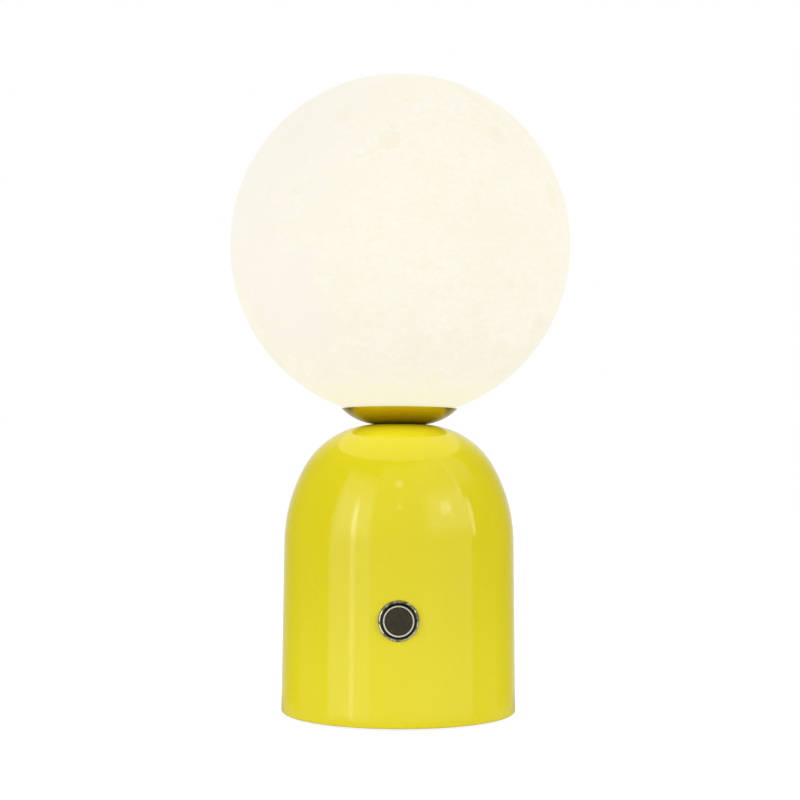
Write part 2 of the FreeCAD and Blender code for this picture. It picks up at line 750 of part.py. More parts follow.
def make_battery():
    """Two wrapped cells side by side, their contact strips and the cap that holds them down."""
    for side, name in zip(SIDES, ("right", "left")):
        cell = simple_turned(
            "battery_cell_" + name,
            ("0", "0"),
            ("cell_radius - cell_edge_round", "0"),
            ("cell_radius", "cell_edge_round", "cell_edge_round", 1),
            ("cell_radius", "cell_length - 4 * cell_edge_round"),
            ("cell_radius - cell_shrink_groove", "cell_length - 3 * cell_edge_round"),
            ("cell_radius", "cell_length - 2 * cell_edge_round"),
            ("cell_radius", "cell_length - cell_edge_round"),
            ("cell_radius - cell_edge_round", "cell_length", "cell_edge_round", 1),
            ("cell_cap_radius", "cell_length"),
            ("cell_cap_radius", "cell_length + cell_cap_height"),
            ("0", "cell_length + cell_cap_height"),
        )
        place(cell, f"{side} * cell_spacing / 2", "cell_y", "cell_z")

    strip_places = {"bottom": "tray_z + tray_plate", "top": "cap_z - strip_thickness"}
    for end_name, height in strip_places.items():
        strip = new_body("contact_strip_" + end_name)
        flat = new_sketch(strip, "XY_Plane", "flat")
        end = "(cell_spacing / 2 + cell_cap_radius - strip_width / 2)"
        outline(
            flat,
            (end, "-strip_width / 2"),
            (end, "strip_width / 2", "strip_width / 2", 1),
            (f"-{end}", "strip_width / 2"),
            (f"-{end}", "-strip_width / 2", "strip_width / 2", 1),
        )
        pad(strip, flat, "strip_thickness")
        if end_name == "bottom":
            tail = new_sketch(strip, "XY_Plane", "tail")
            near, far = "strip_tab_x - strip_tab_width / 2", "strip_tab_x + strip_tab_width / 2"
            box_outline(tail, near, "0", far, "strip_riser_y - cell_y")
            pad(strip, tail, "strip_thickness")
            riser = new_sketch(strip, "XY_Plane", "riser")
            rear = "strip_riser_y - cell_y"
            box_outline(riser, near, rear + " - strip_thickness", far, rear)
            pad(strip, riser, "board_post_height")
        place(strip, "0", "cell_y", height)

    cap = new_body("battery_cap")
    skirt = new_sketch(cap, "XY_Plane", "skirt")
    reach = "cup_inner_radius + tray_wall"
    outline(
        skirt,
        ("cell_spacing / 2", f"cell_y - ({reach})"),
        ("cell_spacing / 2", f"cell_y + {reach}", reach, 1),
        ("-cell_spacing / 2", f"cell_y + {reach}"),
        ("-cell_spacing / 2", f"cell_y - ({reach})", reach, 1),
    )
    pad(cap, skirt, "cap_skirt + tray_plate")
    ear = new_sketch(cap, "XY_Plane", "ear", "cap_skirt")
    box_outline(ear, "-spine_width / 2", "cell_y", "spine_width / 2", "spine_rear_y")
    pad(cap, ear, "tray_plate")
    for side, name in zip(SIDES, ("right", "left")):
        well = new_sketch(cap, "XY_Plane", name + "_well")
        circle(well, f"{side} * cell_spacing / 2", "cell_y", "cup_inner_radius")
        pocket(cap, well, "cap_skirt", upwards=True)
    strip_slot(cap, "strip_slot", "cap_skirt - strip_thickness - running_gap", upwards=True)
    way = new_sketch(cap, "XY_Plane", "spine_way")
    box_outline(
        way,
        "-spine_width / 2 - running_gap",
        "spine_y - running_gap",
        "spine_width / 2 + running_gap",
        "spine_rear_y + overrun",
    )
    pocket(cap, way, "cap_skirt", upwards=True)
    holes = new_sketch(cap, "XY_Plane", "screw_holes", "cap_skirt")
    cap_screw_circles(holes, "small_screw_radius + running_gap")
    circle(holes, "-cell_spacing / 2", "cell_y", "lead_radius + running_gap")
    pocket(cap, holes, "tray_plate", upwards=True)
    place(cap, z="cap_z - cap_skirt")


# Control board and charging port

def block(name, x, y, z, width, depth, height):
    """A plain moulded part of the board, centred on x and y and standing at z."""
    made = doc.addObject("Part::Box", name)
    bind(made, Length=width, Width=depth, Height=height)
    place(made, f"{x} - ({width}) / 2", f"{y} - ({depth}) / 2", z)
    return made


def make_control_board():
    board = new_body("control_board")
    plate = new_sketch(board, "XY_Plane", "plate")
    box_outline(plate, "-board_width / 2", "board_front_y", "board_width / 2", "board_rear_y")
    board_screw_circles(plate, "small_screw_radius + running_gap")
    pad(board, plate, "board_thickness")
    place(board, z="board_z")

    middle = "(board_front_y + board_post_rear_y) / 2"
    capacitor_x = "(board_post_x - small_screw_head_radius - capacitor_radius - running_gap)"
    chips = []
    for side, name in zip(SIDES, ("charger_chip", "driver_chip")):
        chips.append(
            block(
                name,
                f"{side} * chip_width",
                "board_post_rear_y",
                "board_top_z",
                "chip_width",
                "chip_width",
                "chip_height",
            )
        )
    coil_place = ("0", middle, "board_top_z")
    chips.append(block("power_coil", *coil_place, "coil_width", "coil_width", "coil_height"))
    for side, name in zip(SIDES, ("right_capacitor", "left_capacitor")):
        can = doc.addObject("Part::Cylinder", name)
        bind(can, Radius="capacitor_radius", Height="capacitor_height")
        place(can, f"{side} * {capacitor_x}", middle, "board_top_z")
        chips.append(can)
    keep_group("board_parts", chips)

    connectors = []
    for index, name in enumerate(("left_connector", "lamp_connector", "right_connector")):
        connectors.append(
            block(
                name,
                f"{index - 1} * connector_pitch",
                "lead_y",
                "board_top_z",
                "connector_width",
                "connector_width",
                "connector_height",
            )
        )
    keep_group("wire_connectors", connectors)


def make_charging_port():
    """The metal socket on the board's edge, its tongue and the trim ring in the wall."""
    socket = new_body("usb_socket")
    outside = new_sketch(socket, "XZ_Plane", "outside")
    obround(outside, "0", "0", "socket_width / 2", "socket_height / 2")
    pad(socket, outside, "socket_depth")
    mouth = new_sketch(socket, "XZ_Plane", "mouth", "socket_depth")
    obround(mouth, "0", "0", "socket_width / 2 - socket_wall", "socket_height / 2 - socket_wall")
    pocket(socket, mouth, "socket_depth - tongue_root")
    place(socket, "0", "socket_mouth_y - socket_depth", "socket_z", FACING_REAR)

    tongue = new_body("usb_tongue")
    blade = new_sketch(tongue, "XZ_Plane", "blade")
    half_width, half_height = "tongue_width / 2", "tongue_thickness / 2"
    box_outline(blade, f"-{half_width}", f"-{half_height}", half_width, half_height)
    pad(tongue, blade, "socket_depth - tongue_root - overrun")
    place(tongue, "0", "socket_mouth_y - socket_depth + tongue_root", "socket_z", FACING_REAR)

    frame = new_body("port_frame")
    ring = new_sketch(frame, "XZ_Plane", "ring")
    obround(
        ring,
        "0",
        "0",
        "socket_width / 2 + port_frame_wall - slip_gap",
        "socket_height / 2 + port_frame_wall - slip_gap",
    )
    obround(ring, "0", "0", "socket_width / 2 + slip_gap", "socket_height / 2 + slip_gap")
    pad(frame, ring, "port_frame_depth")
    place(frame, "0", "base_waist_radius - port_frame_depth", "socket_z", FACING_REAR)


# Hanger, brass cup and globe fitter

def make_hanger():
    """The hollow threaded tube through the crown with its washers and nuts."""
    tube = simple_turned(
        "threaded_tube",
        ("tube_bore_radius", "0"),
        ("tube_radius - tube_bevel", "0"),
        ("tube_radius", "tube_bevel"),
        ("tube_radius", "tube_top_z - tube_z - tube_bevel"),
        ("tube_radius - tube_bevel", "tube_top_z - tube_z"),
        ("tube_bore_radius", "tube_top_z - tube_z"),
    )
    place(tube, z="tube_z")
    lock_washer = ("lock_washer_radius", "lock_washer_thickness")
    rings = {
        "crown_washer": ("washer_radius", "washer_thickness", "washer_z"),
        "lower_lock_washer": (*lock_washer, "washer_z - lock_washer_thickness"),
        "upper_lock_washer": (*lock_washer, "cup_floor_z + fitter_floor"),
    }
    for name, (radius, height, foot) in rings.items():
        place(simple_ring(name, "tube_radius + running_gap", radius, height), z=foot)
    for name, foot in (("lower_nut", "lower_nut_z"), ("upper_nut", "upper_nut_z")):
        place(hexagon_nut(name, "nut_flats", "nut_height", "tube_radius + slip_gap"), z=foot)


def hexagon_nut(name, flats, height, hole_radius):
    """A nut whose corners are turned off at both faces."""
    nut = new_body(name)
    face = new_sketch(nut, "XY_Plane", "face")
    hexagon(face, flats)
    circle(face, "0", "0", hole_radius)
    pad(nut, face, height)
    corner = f"({flats} / sqrt(3))"
    drop = f"(({corner} - {flats} / 2) / 2)"
    cut = new_sketch(nut, "XZ_Plane", "corner_cut")
    outline(
        cut,
        (f"{flats} / 2", "0"),
        (f"{corner} + {drop}", "0"),
        (f"{corner} + {drop}", f"{drop} * 1.5"),
    )
    turned(nut, cut, "Groove")
    upper = new_sketch(nut, "XZ_Plane", "upper_corner_cut")
    outline(
        upper,
        (f"{flats} / 2", height),
        (f"{corner} + {drop}", f"{height} - {drop} * 1.5"),
        (f"{corner} + {drop}", height),
    )
    turned(nut, upper, "Groove")
    return nut


def make_holder_cup():
    """The spun brass cup that the globe sits in."""
    cup = simple_turned(
        "holder_cup",
        ("tube_radius + running_gap", "0"),
        ("cup_flat_radius", "0"),
        ("rim_radius", "cup_height", "cup_arc_radius", 1),
        ("rim_inner_radius", "cup_height"),
        ("cup_flat_radius", "cup_wall", "cup_arc_radius - cup_wall", -1),
        ("tube_radius + running_gap", "cup_wall"),
    )
    place(cup, z="crown_z")


def make_globe_fitter():
    """The moulded collar in the cup: hub, drum, nut pocket and three lugs with stop ribs."""
    fitter = simple_turned(
        "globe_fitter",
        ("tube_radius + running_gap", "0"),
        ("cup_flat_radius", "0"),
        ("cup_flat_radius", "fitter_hub_height"),
        ("fitter_radius", "fitter_hub_height"),
        ("fitter_radius", "fitter_height"),
        ("fitter_pocket_radius", "fitter_height"),
        ("fitter_pocket_radius", "fitter_floor"),
        ("tube_radius + running_gap", "fitter_floor"),
    )
    root = "fitter_radius - tab_reach / 2"
    lug = new_sketch(fitter, "XZ_Plane", "lug")
    box_outline(lug, root, "fitter_height - tab_height", "lug_radius", "fitter_height")
    turned_lug = turned(fitter, lug, angle="lug_angle")
    rib = new_sketch(fitter, "XZ_Plane", "stop_rib")
    box_outline(rib, root, "tab_z - cup_floor_z - running_gap", "lug_radius", "fitter_height")
    turned_rib = turned(fitter, rib, angle="stop_rib_angle")
    turned_rib.Reversed = True
    around(fitter, [turned_lug, turned_rib], "bayonet_count")
    screws = new_sketch(fitter, "XY_Plane", "screw_pilots", "fitter_height")
    led_screw_circles(screws, "small_screw_radius + slip_gap")
    pocket(fitter, screws, "small_screw_length")
    place(fitter, z="cup_floor_z")


def led_screw_circles(sketch, radius):
    for side in SIDES:
        circle(sketch, f"{side} * led_screw_circle", "0", radius)


# Light

def make_light():
    """The round lamp board, its emitters and the opal cover over them."""
    board = new_body("led_board")
    plate = new_sketch(board, "XY_Plane", "plate")
    circle(plate, "0", "0", "led_board_radius")
    circle(plate, "0", "0", "led_board_hole_radius")
    led_screw_circles(plate, "small_screw_radius + running_gap")
    pad(board, plate, "led_board_thickness")
    place(board, z="fitter_top_z")

    chips = new_body("led_chips")
    chips.AllowCompound = True
    flat = new_sketch(chips, "XY_Plane", "chip")
    box_outline(
        flat,
        "led_ring_radius - led_width / 2",
        "-led_width / 2",
        "led_ring_radius + led_width / 2",
        "led_width / 2",
    )
    chip = pad(chips, flat, "led_height")
    around(chips, [chip], "led_count")
    place(chips, z="led_board_top_z")

    cover = simple_turned(
        "led_diffuser",
        ("fitter_radius", "0"),
        ("fitter_radius", "diffuser_skirt"),
        ("0", "diffuser_rise", "diffuser_arc_radius", 1),
        ("0", "diffuser_rise - diffuser_wall"),
        (
            "fitter_radius - diffuser_wall",
            "diffuser_rise - diffuser_arc_radius"
            " + sqrt((diffuser_arc_radius - diffuser_wall) ^ 2 - (fitter_radius - diffuser_wall) ^ 2)",
            "diffuser_arc_radius - diffuser_wall",
            -1,
        ),
        ("fitter_radius - diffuser_wall", "0"),
    )
    place(cover, z="fitter_top_z")


# Globe

def make_globe():
    """The printed moon shell with its neck, and the ring glued into the neck."""
    neck_outer = "(neck_radius + neck_wall)"
    globe = simple_turned(
        "globe_shell",
        ("0", "globe_belt + globe_radius", "globe_radius", 1),
        ("0", "globe_belt + globe_inner_radius"),
        ("globe_inner_radius", "globe_belt", "globe_inner_radius", -1),
        ("globe_inner_radius", "0"),
        (neck_outer, f"-sqrt(globe_inner_radius ^ 2 - {neck_outer} ^ 2)", "globe_inner_radius", -1),
        (neck_outer, "neck_height - neck_drop"),
        ("neck_radius", "neck_height - neck_drop"),
        ("neck_radius", "-neck_drop"),
        ("globe_radius", "0", "globe_radius", 1),
        ("globe_radius", "globe_belt"),
    )
    place(globe, z="globe_z")

    ring = simple_ring("globe_bayonet_ring", "ring_inner_radius", "ring_radius", "neck_height")
    tab = new_sketch(ring, "XZ_Plane", "tab")
    foot = "(tab_z - ring_z)"
    box_outline(
        tab,
        "ring_inner_radius - tab_reach",
        foot,
        "ring_inner_radius + bayonet_ring_wall / 2",
        foot + " + tab_height",
    )
    turned_tab = turned(ring, tab, angle="tab_angle")
    around(ring, [turned_tab], "bayonet_count")
    place(ring, z="ring_z", turn=(Z_AXIS, number("tab_start_angle")))


# Push switch

def make_switch():
    """The front switch: bezel barrel, gasket, nut, moving button, contacts and return spring."""
    bezel_top = "gasket_height + flange_height"
    well_radius = "button_radius + running_gap"
    barrel = simple_turned(
        "switch_body",
        ("stem_radius + running_gap", "well_floor"),
        ("stem_radius + running_gap", "partition_foot"),
        ("chamber_radius", "partition_foot"),
        ("chamber_radius", "-barrel_length"),
        ("barrel_radius", "-barrel_length"),
        ("barrel_radius", "gasket_height"),
        ("flange_radius", "gasket_height"),
        ("flange_radius", bezel_top + " - flange_bevel"),
        ("flange_radius - flange_bevel", bezel_top, "flange_bevel", 1),
        (well_radius + " + flange_bevel / 2", bezel_top),
        (well_radius, bezel_top + " - flange_bevel / 2"),
        (well_radius, "well_floor"),
    )
    gasket = simple_ring("switch_gasket", "barrel_radius + slip_gap", "flange_radius", "gasket_height")
    nut = hexagon_nut("switch_nut", "switch_nut_flats", "switch_nut_height", "barrel_radius + slip_gap")

    cap_radius = "button_radius - button_ring_width - slip_gap"
    nose_radius = "stem_radius - inner_wall / 2"
    cap = simple_turned(
        "button_cap",
        ("0", "stem_foot"),
        (nose_radius, "stem_foot"),
        (nose_radius, "bridge_top"),
        ("stem_radius", "bridge_top"),
        ("stem_radius", "button_foot"),
        (cap_radius, "button_foot"),
        (cap_radius, "button_face - button_cap_recess"),
        ("0", "button_face - button_cap_recess"),
    )
    ring = simple_turned(
        "button_ring",
        ("button_radius - button_ring_width", "button_foot"),
        ("button_radius", "button_foot"),
        ("button_radius", "button_face - flange_bevel / 2"),
        ("button_radius - flange_bevel / 2", "button_face"),
        ("button_radius - button_ring_width", "button_face"),
    )
    bridge = simple_ring(
        "contact_bridge",
        nose_radius + " + slip_gap",
        "chamber_radius - 2 * running_gap",
        "bridge_height",
    )

    base = simple_turned(
        "switch_base",
        ("0", "-barrel_length - inner_wall"),
        ("barrel_radius", "-barrel_length - inner_wall"),
        ("barrel_radius", "-barrel_length"),
        ("chamber_radius - slip_gap", "-barrel_length"),
        ("chamber_radius - slip_gap", "plug_top"),
        ("0", "plug_top"),
    )
    slots = new_sketch(base, "XY_Plane", "blade_slots", "plug_top")
    blade_outlines(slots, "slip_gap")
    pocket(base, slots, "plug_top + barrel_length + inner_wall")

    blades = new_body("switch_terminals")
    blades.AllowCompound = True
    section = new_sketch(blades, "XY_Plane", "section", "blade_foot")
    blade_outlines(section, "0")
    pad(blades, section, "contact_top - blade_foot")

    spring = new_body("switch_spring")
    wire = new_sketch(spring, "XZ_Plane", "wire")
    circle(wire, "spring_coil_radius", "spring_wire_radius", "spring_wire_radius")
    coil = spring.newObject("PartDesign::AdditiveHelix", "spring_coil")
    coil.Profile = wire
    coil.ReferenceAxis = (wire, ["V_Axis"])
    coil.Mode = 0
    bind(coil, Pitch="(spring_length - 2 * spring_wire_radius) / spring_turn_count")
    bind(coil, Height="spring_length - 2 * spring_wire_radius")

    heights = {nut: "-(switch_seat - switch_pad_face) - switch_nut_height", bridge: "bridge_foot"}
    heights[spring] = "spring_foot"
    for piece in (barrel, gasket, nut, cap, ring, bridge, base, blades, spring):
        depth = heights.get(piece, "0")
        place(piece, "0", f"-switch_seat - ({depth})", "switch_height", FACING_FRONT)


def blade_outlines(sketch, gap):
    for side in SIDES:
        inner = f"{side} * (blade_spread / 2 - {gap})"
        outer = f"{side} * (blade_spread / 2 + blade_thickness + {gap})"
        low, high = f"-blade_width / 2 - {gap}", f"blade_width / 2 + {gap}"
        box_outline(sketch, inner, low, outer, high)


# Leads held inside the lamp

def lead(name, *route):
    """A round lead: straight runs joined by arcs as large as each pair of runs leaves room for."""
    spots = [FreeCAD.Vector(*(number(text) for text in spot)) for spot in route]
    edges, radii = [], []
    start = spots[0]
    for before, corner, after in zip(spots, spots[1:], spots[2:]):
        incoming, outgoing = corner - before, after - corner
        setback = ARC_SHARE * min(incoming.Length, outgoing.Length)
        half_turn = incoming.getAngle(outgoing) / 2
        radii.append(setback / math.tan(half_turn))
        arc_start = corner - incoming.normalize() * setback
        arc_end = corner + outgoing.normalize() * setback
        inward = (outgoing - incoming).normalize()
        middle = corner + inward * (radii[-1] / math.cos(half_turn) - radii[-1])
        edges.append(Part.LineSegment(start, arc_start).toShape())
        edges.append(Part.Arc(arc_start, middle, arc_end).toShape())
        start = arc_end
    edges.append(Part.LineSegment(start, spots[-1]).toShape())
    path = Part.Wire(edges)
    direction = spots[1] - spots[0]
    section = Part.Wire(Part.Circle(spots[0], direction, number("lead_radius")).toShape())
    shape = path.makePipeShell([section], True, False)
    expected = math.pi * number("lead_radius") ** 2 * path.Length
    print(name, "bend radii", [round(radius, 1) for radius in radii], "length", round(path.Length, 1))
    print(name, "volume against section times length", round(shape.Volume / expected, 4))
    made = doc.addObject("Part::Feature", name)
    made.Label = name
    made.Shape = shape
    made.Placement = FreeCAD.Placement()
    return made


def make_leads():
    connector_top = "board_top_z + connector_height"
    kept.append(
        lead(
            "led_lead",
            ("0", "lead_y", connector_top),
            ("0", "lead_y", "tube_z - tube_tail - lead_y"),
            ("0", "0", "tube_z - tube_tail"),
            ("0", "0", "led_board_top_z"),
        )
    )
    over_cap = "cap_z + tray_plate + 2 * tube_tail"
    kept.append(
        lead(
            "battery_lead",
            ("-cell_spacing / 2", "cell_y", "cap_z"),
            ("-cell_spacing / 2", "cell_y", over_cap),
            ("-connector_pitch / 2", "lead_y + clip_width / 2 + lead_radius", over_cap),
            ("-connector_pitch / 2", "lead_y + clip_width / 2 + lead_radius", "board_top_z"),
        )
    )
    beside_cells = "(cell_spacing / 2 + cell_radius + clip_width)"
    wires = []
    for side, name in zip(SIDES, ("right_switch_lead", "left_switch_lead")):
        blade_x = f"{side} * (blade_spread + blade_thickness) / 2"
        wires.append(
            lead(
                name,
                (blade_x, "-switch_seat - blade_foot", "switch_height"),
                (blade_x, "-switch_seat - blade_foot + 10 * lead_radius", "switch_height"),
                (f"{side} * {beside_cells}", "cell_y - cell_radius", "switch_height - connector_height"),
                (f"{side} * {beside_cells}", "spine_y", "switch_height - 1.5 * connector_height"),
                (f"{side} * connector_pitch", "lead_y", "switch_height - 2 * connector_height"),
                (f"{side} * connector_pitch", "lead_y", connector_top),
            )
        )
    keep_group("switch_leads", wires)


# Small screws

def screw(name, prefix, length):
    """A pan head screw with a hexagon recess; its origin lies under the head."""
    body = new_body(name, alone=False)
    radius, head, height = prefix + "_radius", prefix + "_head_radius", prefix + "_head_height"
    section = new_sketch(body, "XZ_Plane", "section")
    outline(
        section,
        ("0", f"-({length})"),
        (f"{radius} / 2", f"-({length})"),
        (radius, f"{radius} / 2 - ({length})"),
        (radius, "0"),
        (head, "0"),
        (head, f"{height} / 2"),
        (f"{head} - {height} / 2", height, f"{height} / 2", 1),
        ("0", height),
    )
    turned(body, section)
    recess = new_sketch(body, "XY_Plane", "recess", height)
    hexagon(recess, head)
    pocket(body, recess, f"{height} / 2")
    return body


def make_screws():
    angle_step = "360 / boss_count"
    screws = []
    for index in range(int(number("boss_count"))):
        made = screw(f"cover_screw_{index + 1}", "cover_screw", "cover_screw_length")
        x = f"boss_circle_radius * sin({index} * {angle_step})"
        y = f"-boss_circle_radius * cos({index} * {angle_step})"
        place(made, x, y, "cover_z + cover_screw_head_height + slip_gap", (X_AXIS, 180))
        screws.append(made)
    keep_group("cover_screws", screws)

    small = ("small_screw", "small_screw_length")
    large = ("cover_screw", "chassis_screw_length")
    board_y = ("board_post_front_y", "board_post_rear_y")
    sets = {
        "chassis_screws": (large, "tray_screw_spread / 2", ("cell_y",), "tray_z + tray_plate"),
        "board_screws": (small, "board_post_x", board_y, "board_top_z"),
        "battery_cap_screws": (small, "cap_screw_x", ("spine_mid_y",), "cap_z + tray_plate"),
        "led_board_screws": (small, "led_screw_circle", ("0",), "led_board_top_z"),
    }
    for name, ((prefix, length), x, rows, z) in sets.items():
        screws = []
        for side in SIDES:
            for y in rows:
                made = screw(f"{name[:-1]}_{len(screws) + 1}", prefix, length)
                place(made, f"{side} * {x}", y, z)
                screws.append(made)
        keep_group(name, screws)


# Build, check and write

def check_document():
    doc.recompute()
    for thing in doc.Objects:
        if "Invalid" in thing.State or "Error" in thing.State:
            raise RuntimeError(f"{thing.Name} failed: {thing.State}")
    for piece in kept:
        if piece.Shape.isNull() or not piece.Shape.isValid():
            raise RuntimeError(f"{piece.Label} has no valid shape")


def write_parts():
    os.makedirs("parts", exist_ok=True)
    for piece in kept:
        piece.Shape.exportStep(f"parts/{piece.Label}.step")
        print(f"{piece.Label}: {len(piece.Shape.Solids)} solids, {piece.Shape.Volume:.0f} mm3")


fill_sheet()
make_base_shell()
make_bottom()
make_chassis_tray()
make_battery()
make_control_board()
make_charging_port()
make_hanger()
make_holder_cup()
make_globe_fitter()
make_light()
make_globe()
make_switch()
make_screws()
make_leads()
check_document()
write_parts()
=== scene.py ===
import math
import random

import bmesh
import bpy
from mathutils import Matrix, Vector, kdtree, noise


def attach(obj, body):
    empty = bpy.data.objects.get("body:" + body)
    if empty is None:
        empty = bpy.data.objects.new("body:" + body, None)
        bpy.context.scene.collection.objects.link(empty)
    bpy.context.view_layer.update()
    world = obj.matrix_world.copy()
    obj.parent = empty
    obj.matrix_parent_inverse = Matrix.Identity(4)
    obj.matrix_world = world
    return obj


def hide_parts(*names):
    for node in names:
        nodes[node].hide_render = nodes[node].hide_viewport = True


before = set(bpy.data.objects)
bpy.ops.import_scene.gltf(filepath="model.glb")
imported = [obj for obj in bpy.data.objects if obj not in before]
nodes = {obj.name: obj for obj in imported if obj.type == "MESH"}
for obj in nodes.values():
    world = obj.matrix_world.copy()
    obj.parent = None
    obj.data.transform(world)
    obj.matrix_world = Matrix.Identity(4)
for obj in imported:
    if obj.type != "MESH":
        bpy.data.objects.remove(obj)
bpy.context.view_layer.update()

mm = 0.001

# Camera at the photo's viewpoint

cameraView = {
    "distance": 0.660,      # metres from the lamp's axis
    "height": 0.1025,       # metres above the table
    "tilt": 2.94,           # degrees up
    "turn": -0.017,         # degrees to the left
    "roll": 0.236,          # degrees
    "lens": 67.45,          # millimetres
}


def makeCamera(view):
    data = bpy.data.cameras.new("photoCamera")
    data.lens = view["lens"]
    camera = bpy.data.objects.new("photoCamera", data)
    camera.location = (0, -view["distance"], view["height"])
    turned = Matrix.Rotation(math.radians(view["turn"]), 4, "Z")
    tilted = Matrix.Rotation(math.radians(90 + view["tilt"]), 4, "X")
    rolled = Matrix.Rotation(math.radians(view["roll"]), 4, "Z")
    camera.rotation_euler = (turned @ tilted @ rolled).to_euler()
    bpy.context.collection.objects.link(camera)
    bpy.context.scene.camera = camera


makeCamera(cameraView)
bpy.context.scene.view_settings.view_transform = "Standard"
print("camera stands")


# Small tools for node trees

def addNode(tree, kind, **settings):
    node = tree.nodes.new(kind)
    for label, value in settings.items():
        setattr(node, label, value)
    return node


def feed(tree, socket, value):
    # a socket gets a link, or a plain number or colour
    if isinstance(value, bpy.types.NodeSocket):
        tree.links.new(value, socket)
    else:
        socket.default_value = value


def calculate(tree, operation, first, second=0.0):
    node = addNode(tree, "ShaderNodeMath", operation=operation)
    feed(tree, node.inputs[0], first)
    feed(tree, node.inputs[1], second)
    return node.outputs[0]


def fitRange(tree, value, fromLow, fromHigh, low, high, smooth=False):
    node = addNode(tree, "ShaderNodeMapRange")
    if smooth:
        node.interpolation_type = "SMOOTHSTEP"
    for label, number in zip(("From Min", "From Max", "To Min", "To Max"), (fromLow, fromHigh, low, high)):
        feed(tree, node.inputs[label], number)
    feed(tree, node.inputs["Value"], value)
    return node.outputs["Result"]


def blendColours(tree, share, first, second):
    node = addNode(tree, "ShaderNodeMix", data_type="RGBA")
    feed(tree, node.inputs[0], share)
    feed(tree, node.inputs[6], (*first, 1) if isinstance(first, tuple) else first)
    feed(tree, node.inputs[7], (*second, 1) if isinstance(second, tuple) else second)
    return node.outputs[2]


def objectPoint(tree, stretch=(1, 1, 1)):
    coordinates = addNode(tree, "ShaderNodeTexCoord")
    mapping = addNode(tree, "ShaderNodeMapping")
    mapping.inputs["Scale"].default_value = stretch
    feed(tree, mapping.inputs["Vector"], coordinates.outputs["Object"])
    return mapping.outputs["Vector"]


def noisePattern(tree, point, scale, detail=4.0, roughness=0.55):
    pattern = addNode(tree, "ShaderNodeTexNoise")
    feed(tree, pattern.inputs["Vector"], point)
    feed(tree, pattern.inputs["Scale"], scale)
    feed(tree, pattern.inputs["Detail"], detail)
    feed(tree, pattern.inputs["Roughness"], roughness)
    return pattern.outputs["Fac"]


def spreadNoise(tree, pattern, low, high):
    # most of a noise pattern lies between 0.3 and 0.7
    return fitRange(tree, pattern, 0.3, 0.7, low, high)


def mottleColours(tree, pattern, first, second):
    return blendColours(tree, spreadNoise(tree, pattern, 0, 1), first, second)


def heightOf(tree, point):
    parts = addNode(tree, "ShaderNodeSeparateXYZ")
    feed(tree, parts.inputs[0], point)
    return parts.outputs["Z"]


def distanceFrom(tree, place, stretch=(1, 1, 1)):
    # a stretch of 0 leaves that direction out, which gives the distance from a line
    node = addNode(tree, "ShaderNodeVectorMath", operation="DISTANCE")
    feed(tree, node.inputs[0], objectPoint(tree, stretch))
    node.inputs[1].default_value = place
    return node.outputs["Value"]


def bump(tree, height, strength, depth, under=None):
    node = addNode(tree, "ShaderNodeBump")
    feed(tree, node.inputs["Strength"], strength)
    feed(tree, node.inputs["Distance"], depth)
    feed(tree, node.inputs["Height"], height)
    if under:
        feed(tree, node.inputs["Normal"], under)
    return node.outputs["Normal"]


def newMaterial(name, **sockets):
    material = bpy.data.materials.new(name)
    material.use_nodes = True
    shader = material.node_tree.nodes["Principled BSDF"]
    for label, value in sockets.items():
        shader.inputs[label.replace("_", " ")].default_value = value
    return material, material.node_tree, shader


# Studio: white surroundings, a pale floor and tall soft boxes

studio = {
    "fill": (0.50, 1.05, 0.58),         # world light in front, behind, and its share from above
    "fillTurn": (60, 140),              # degrees aside where the front's light gives way
    "fillRise": (5, 75),                # degrees up where it falls to its share from above
    "roomGlow": 0.10,                   # what gloss sees of the room around the boxes
    "backdropGlow": 0.82,               # and of the wall behind the lamp
    "backdropAngles": (125, 180),       # degrees aside
    "backdropFoot": (-35, -8, 0.30),    # degrees up where it begins and is full, and its share below
    "boxes": {                          # degrees to the right, degrees up, glow and softness
        "front": ((-26, 27), (-70, 58), 0.45, 3.0),
        "left": ((-72, -27), (-70, 45), 0.93, 3.0),
        "leftPatch": ((-66, -30), (5, 31), 0.80, 4.0),
        "streak": ((-48.5, -43.5), (-70, 30), 1.25, 1.6),
        "streakPatch": ((-48.5, -43.5), (5, 25), 1.9, 1.6),
        "right": ((26, 76.5), (-70, 62), 0.56, 2.0),
        "rightTop": ((72, 106), (32, 66), 0.52, 3.0),
        "window": ((31, 77), (9, 34), 0.85, 3.0),
        "windowSpot": ((45, 57), (20, 27.5), 2.0, 2.3),
        "windowEdge": ((77.5, 82.5), (5, 25), 2.3, 1.4),
        "ground": ((-112, 112), (-70, -5.5), 0.30, 4.0),
        "upperSpot": ((-4.5, 4.5), (42, 46.5), 1.6, 1.6),
        "lowerSpot": ((-2.6, 2.6), (25.5, 29), 1.3, 1.2),
    },
    "floorHalf": 3.0,                   # metres
    "floorColours": ((0.88, 0.88, 0.88), (0.92, 0.92, 0.92)),
    "floorGrain": 900,
    "floorGlow": 0.89,                  # camera rays see this, plus a share of the floor's own light
    "floorShare": 0.36,
    "floorGloss": 0.38,                 # what gloss sees of the floor
    "tableEdge": (0.055, 0.10),         # metres from the axis where gloss loses the floor
    "pool": (0.12, 0.60, 1.0, 0.94),    # metres from the axis where the floor turns greyer, and its shares
    "lampAim": (0, 0, 0.12),
    "lamps": {
        "keyLamp": {"place": (-1.03, -0.78, 0.72), "size": (0.7, 0.9), "power": 8.7},
        "sideLamp": {"place": (1.00, -0.82, 0.68), "size": (0.7, 0.9), "power": 7.6},
    },
}


def softWindow(tree, value, low, high, soft):
    rise = fitRange(tree, value, low - soft, low + soft, 0, 1, smooth=True)
    fall = fitRange(tree, value, high - soft, high + soft, 1, 0, smooth=True)
    return calculate(tree, "MULTIPLY", rise, fall)


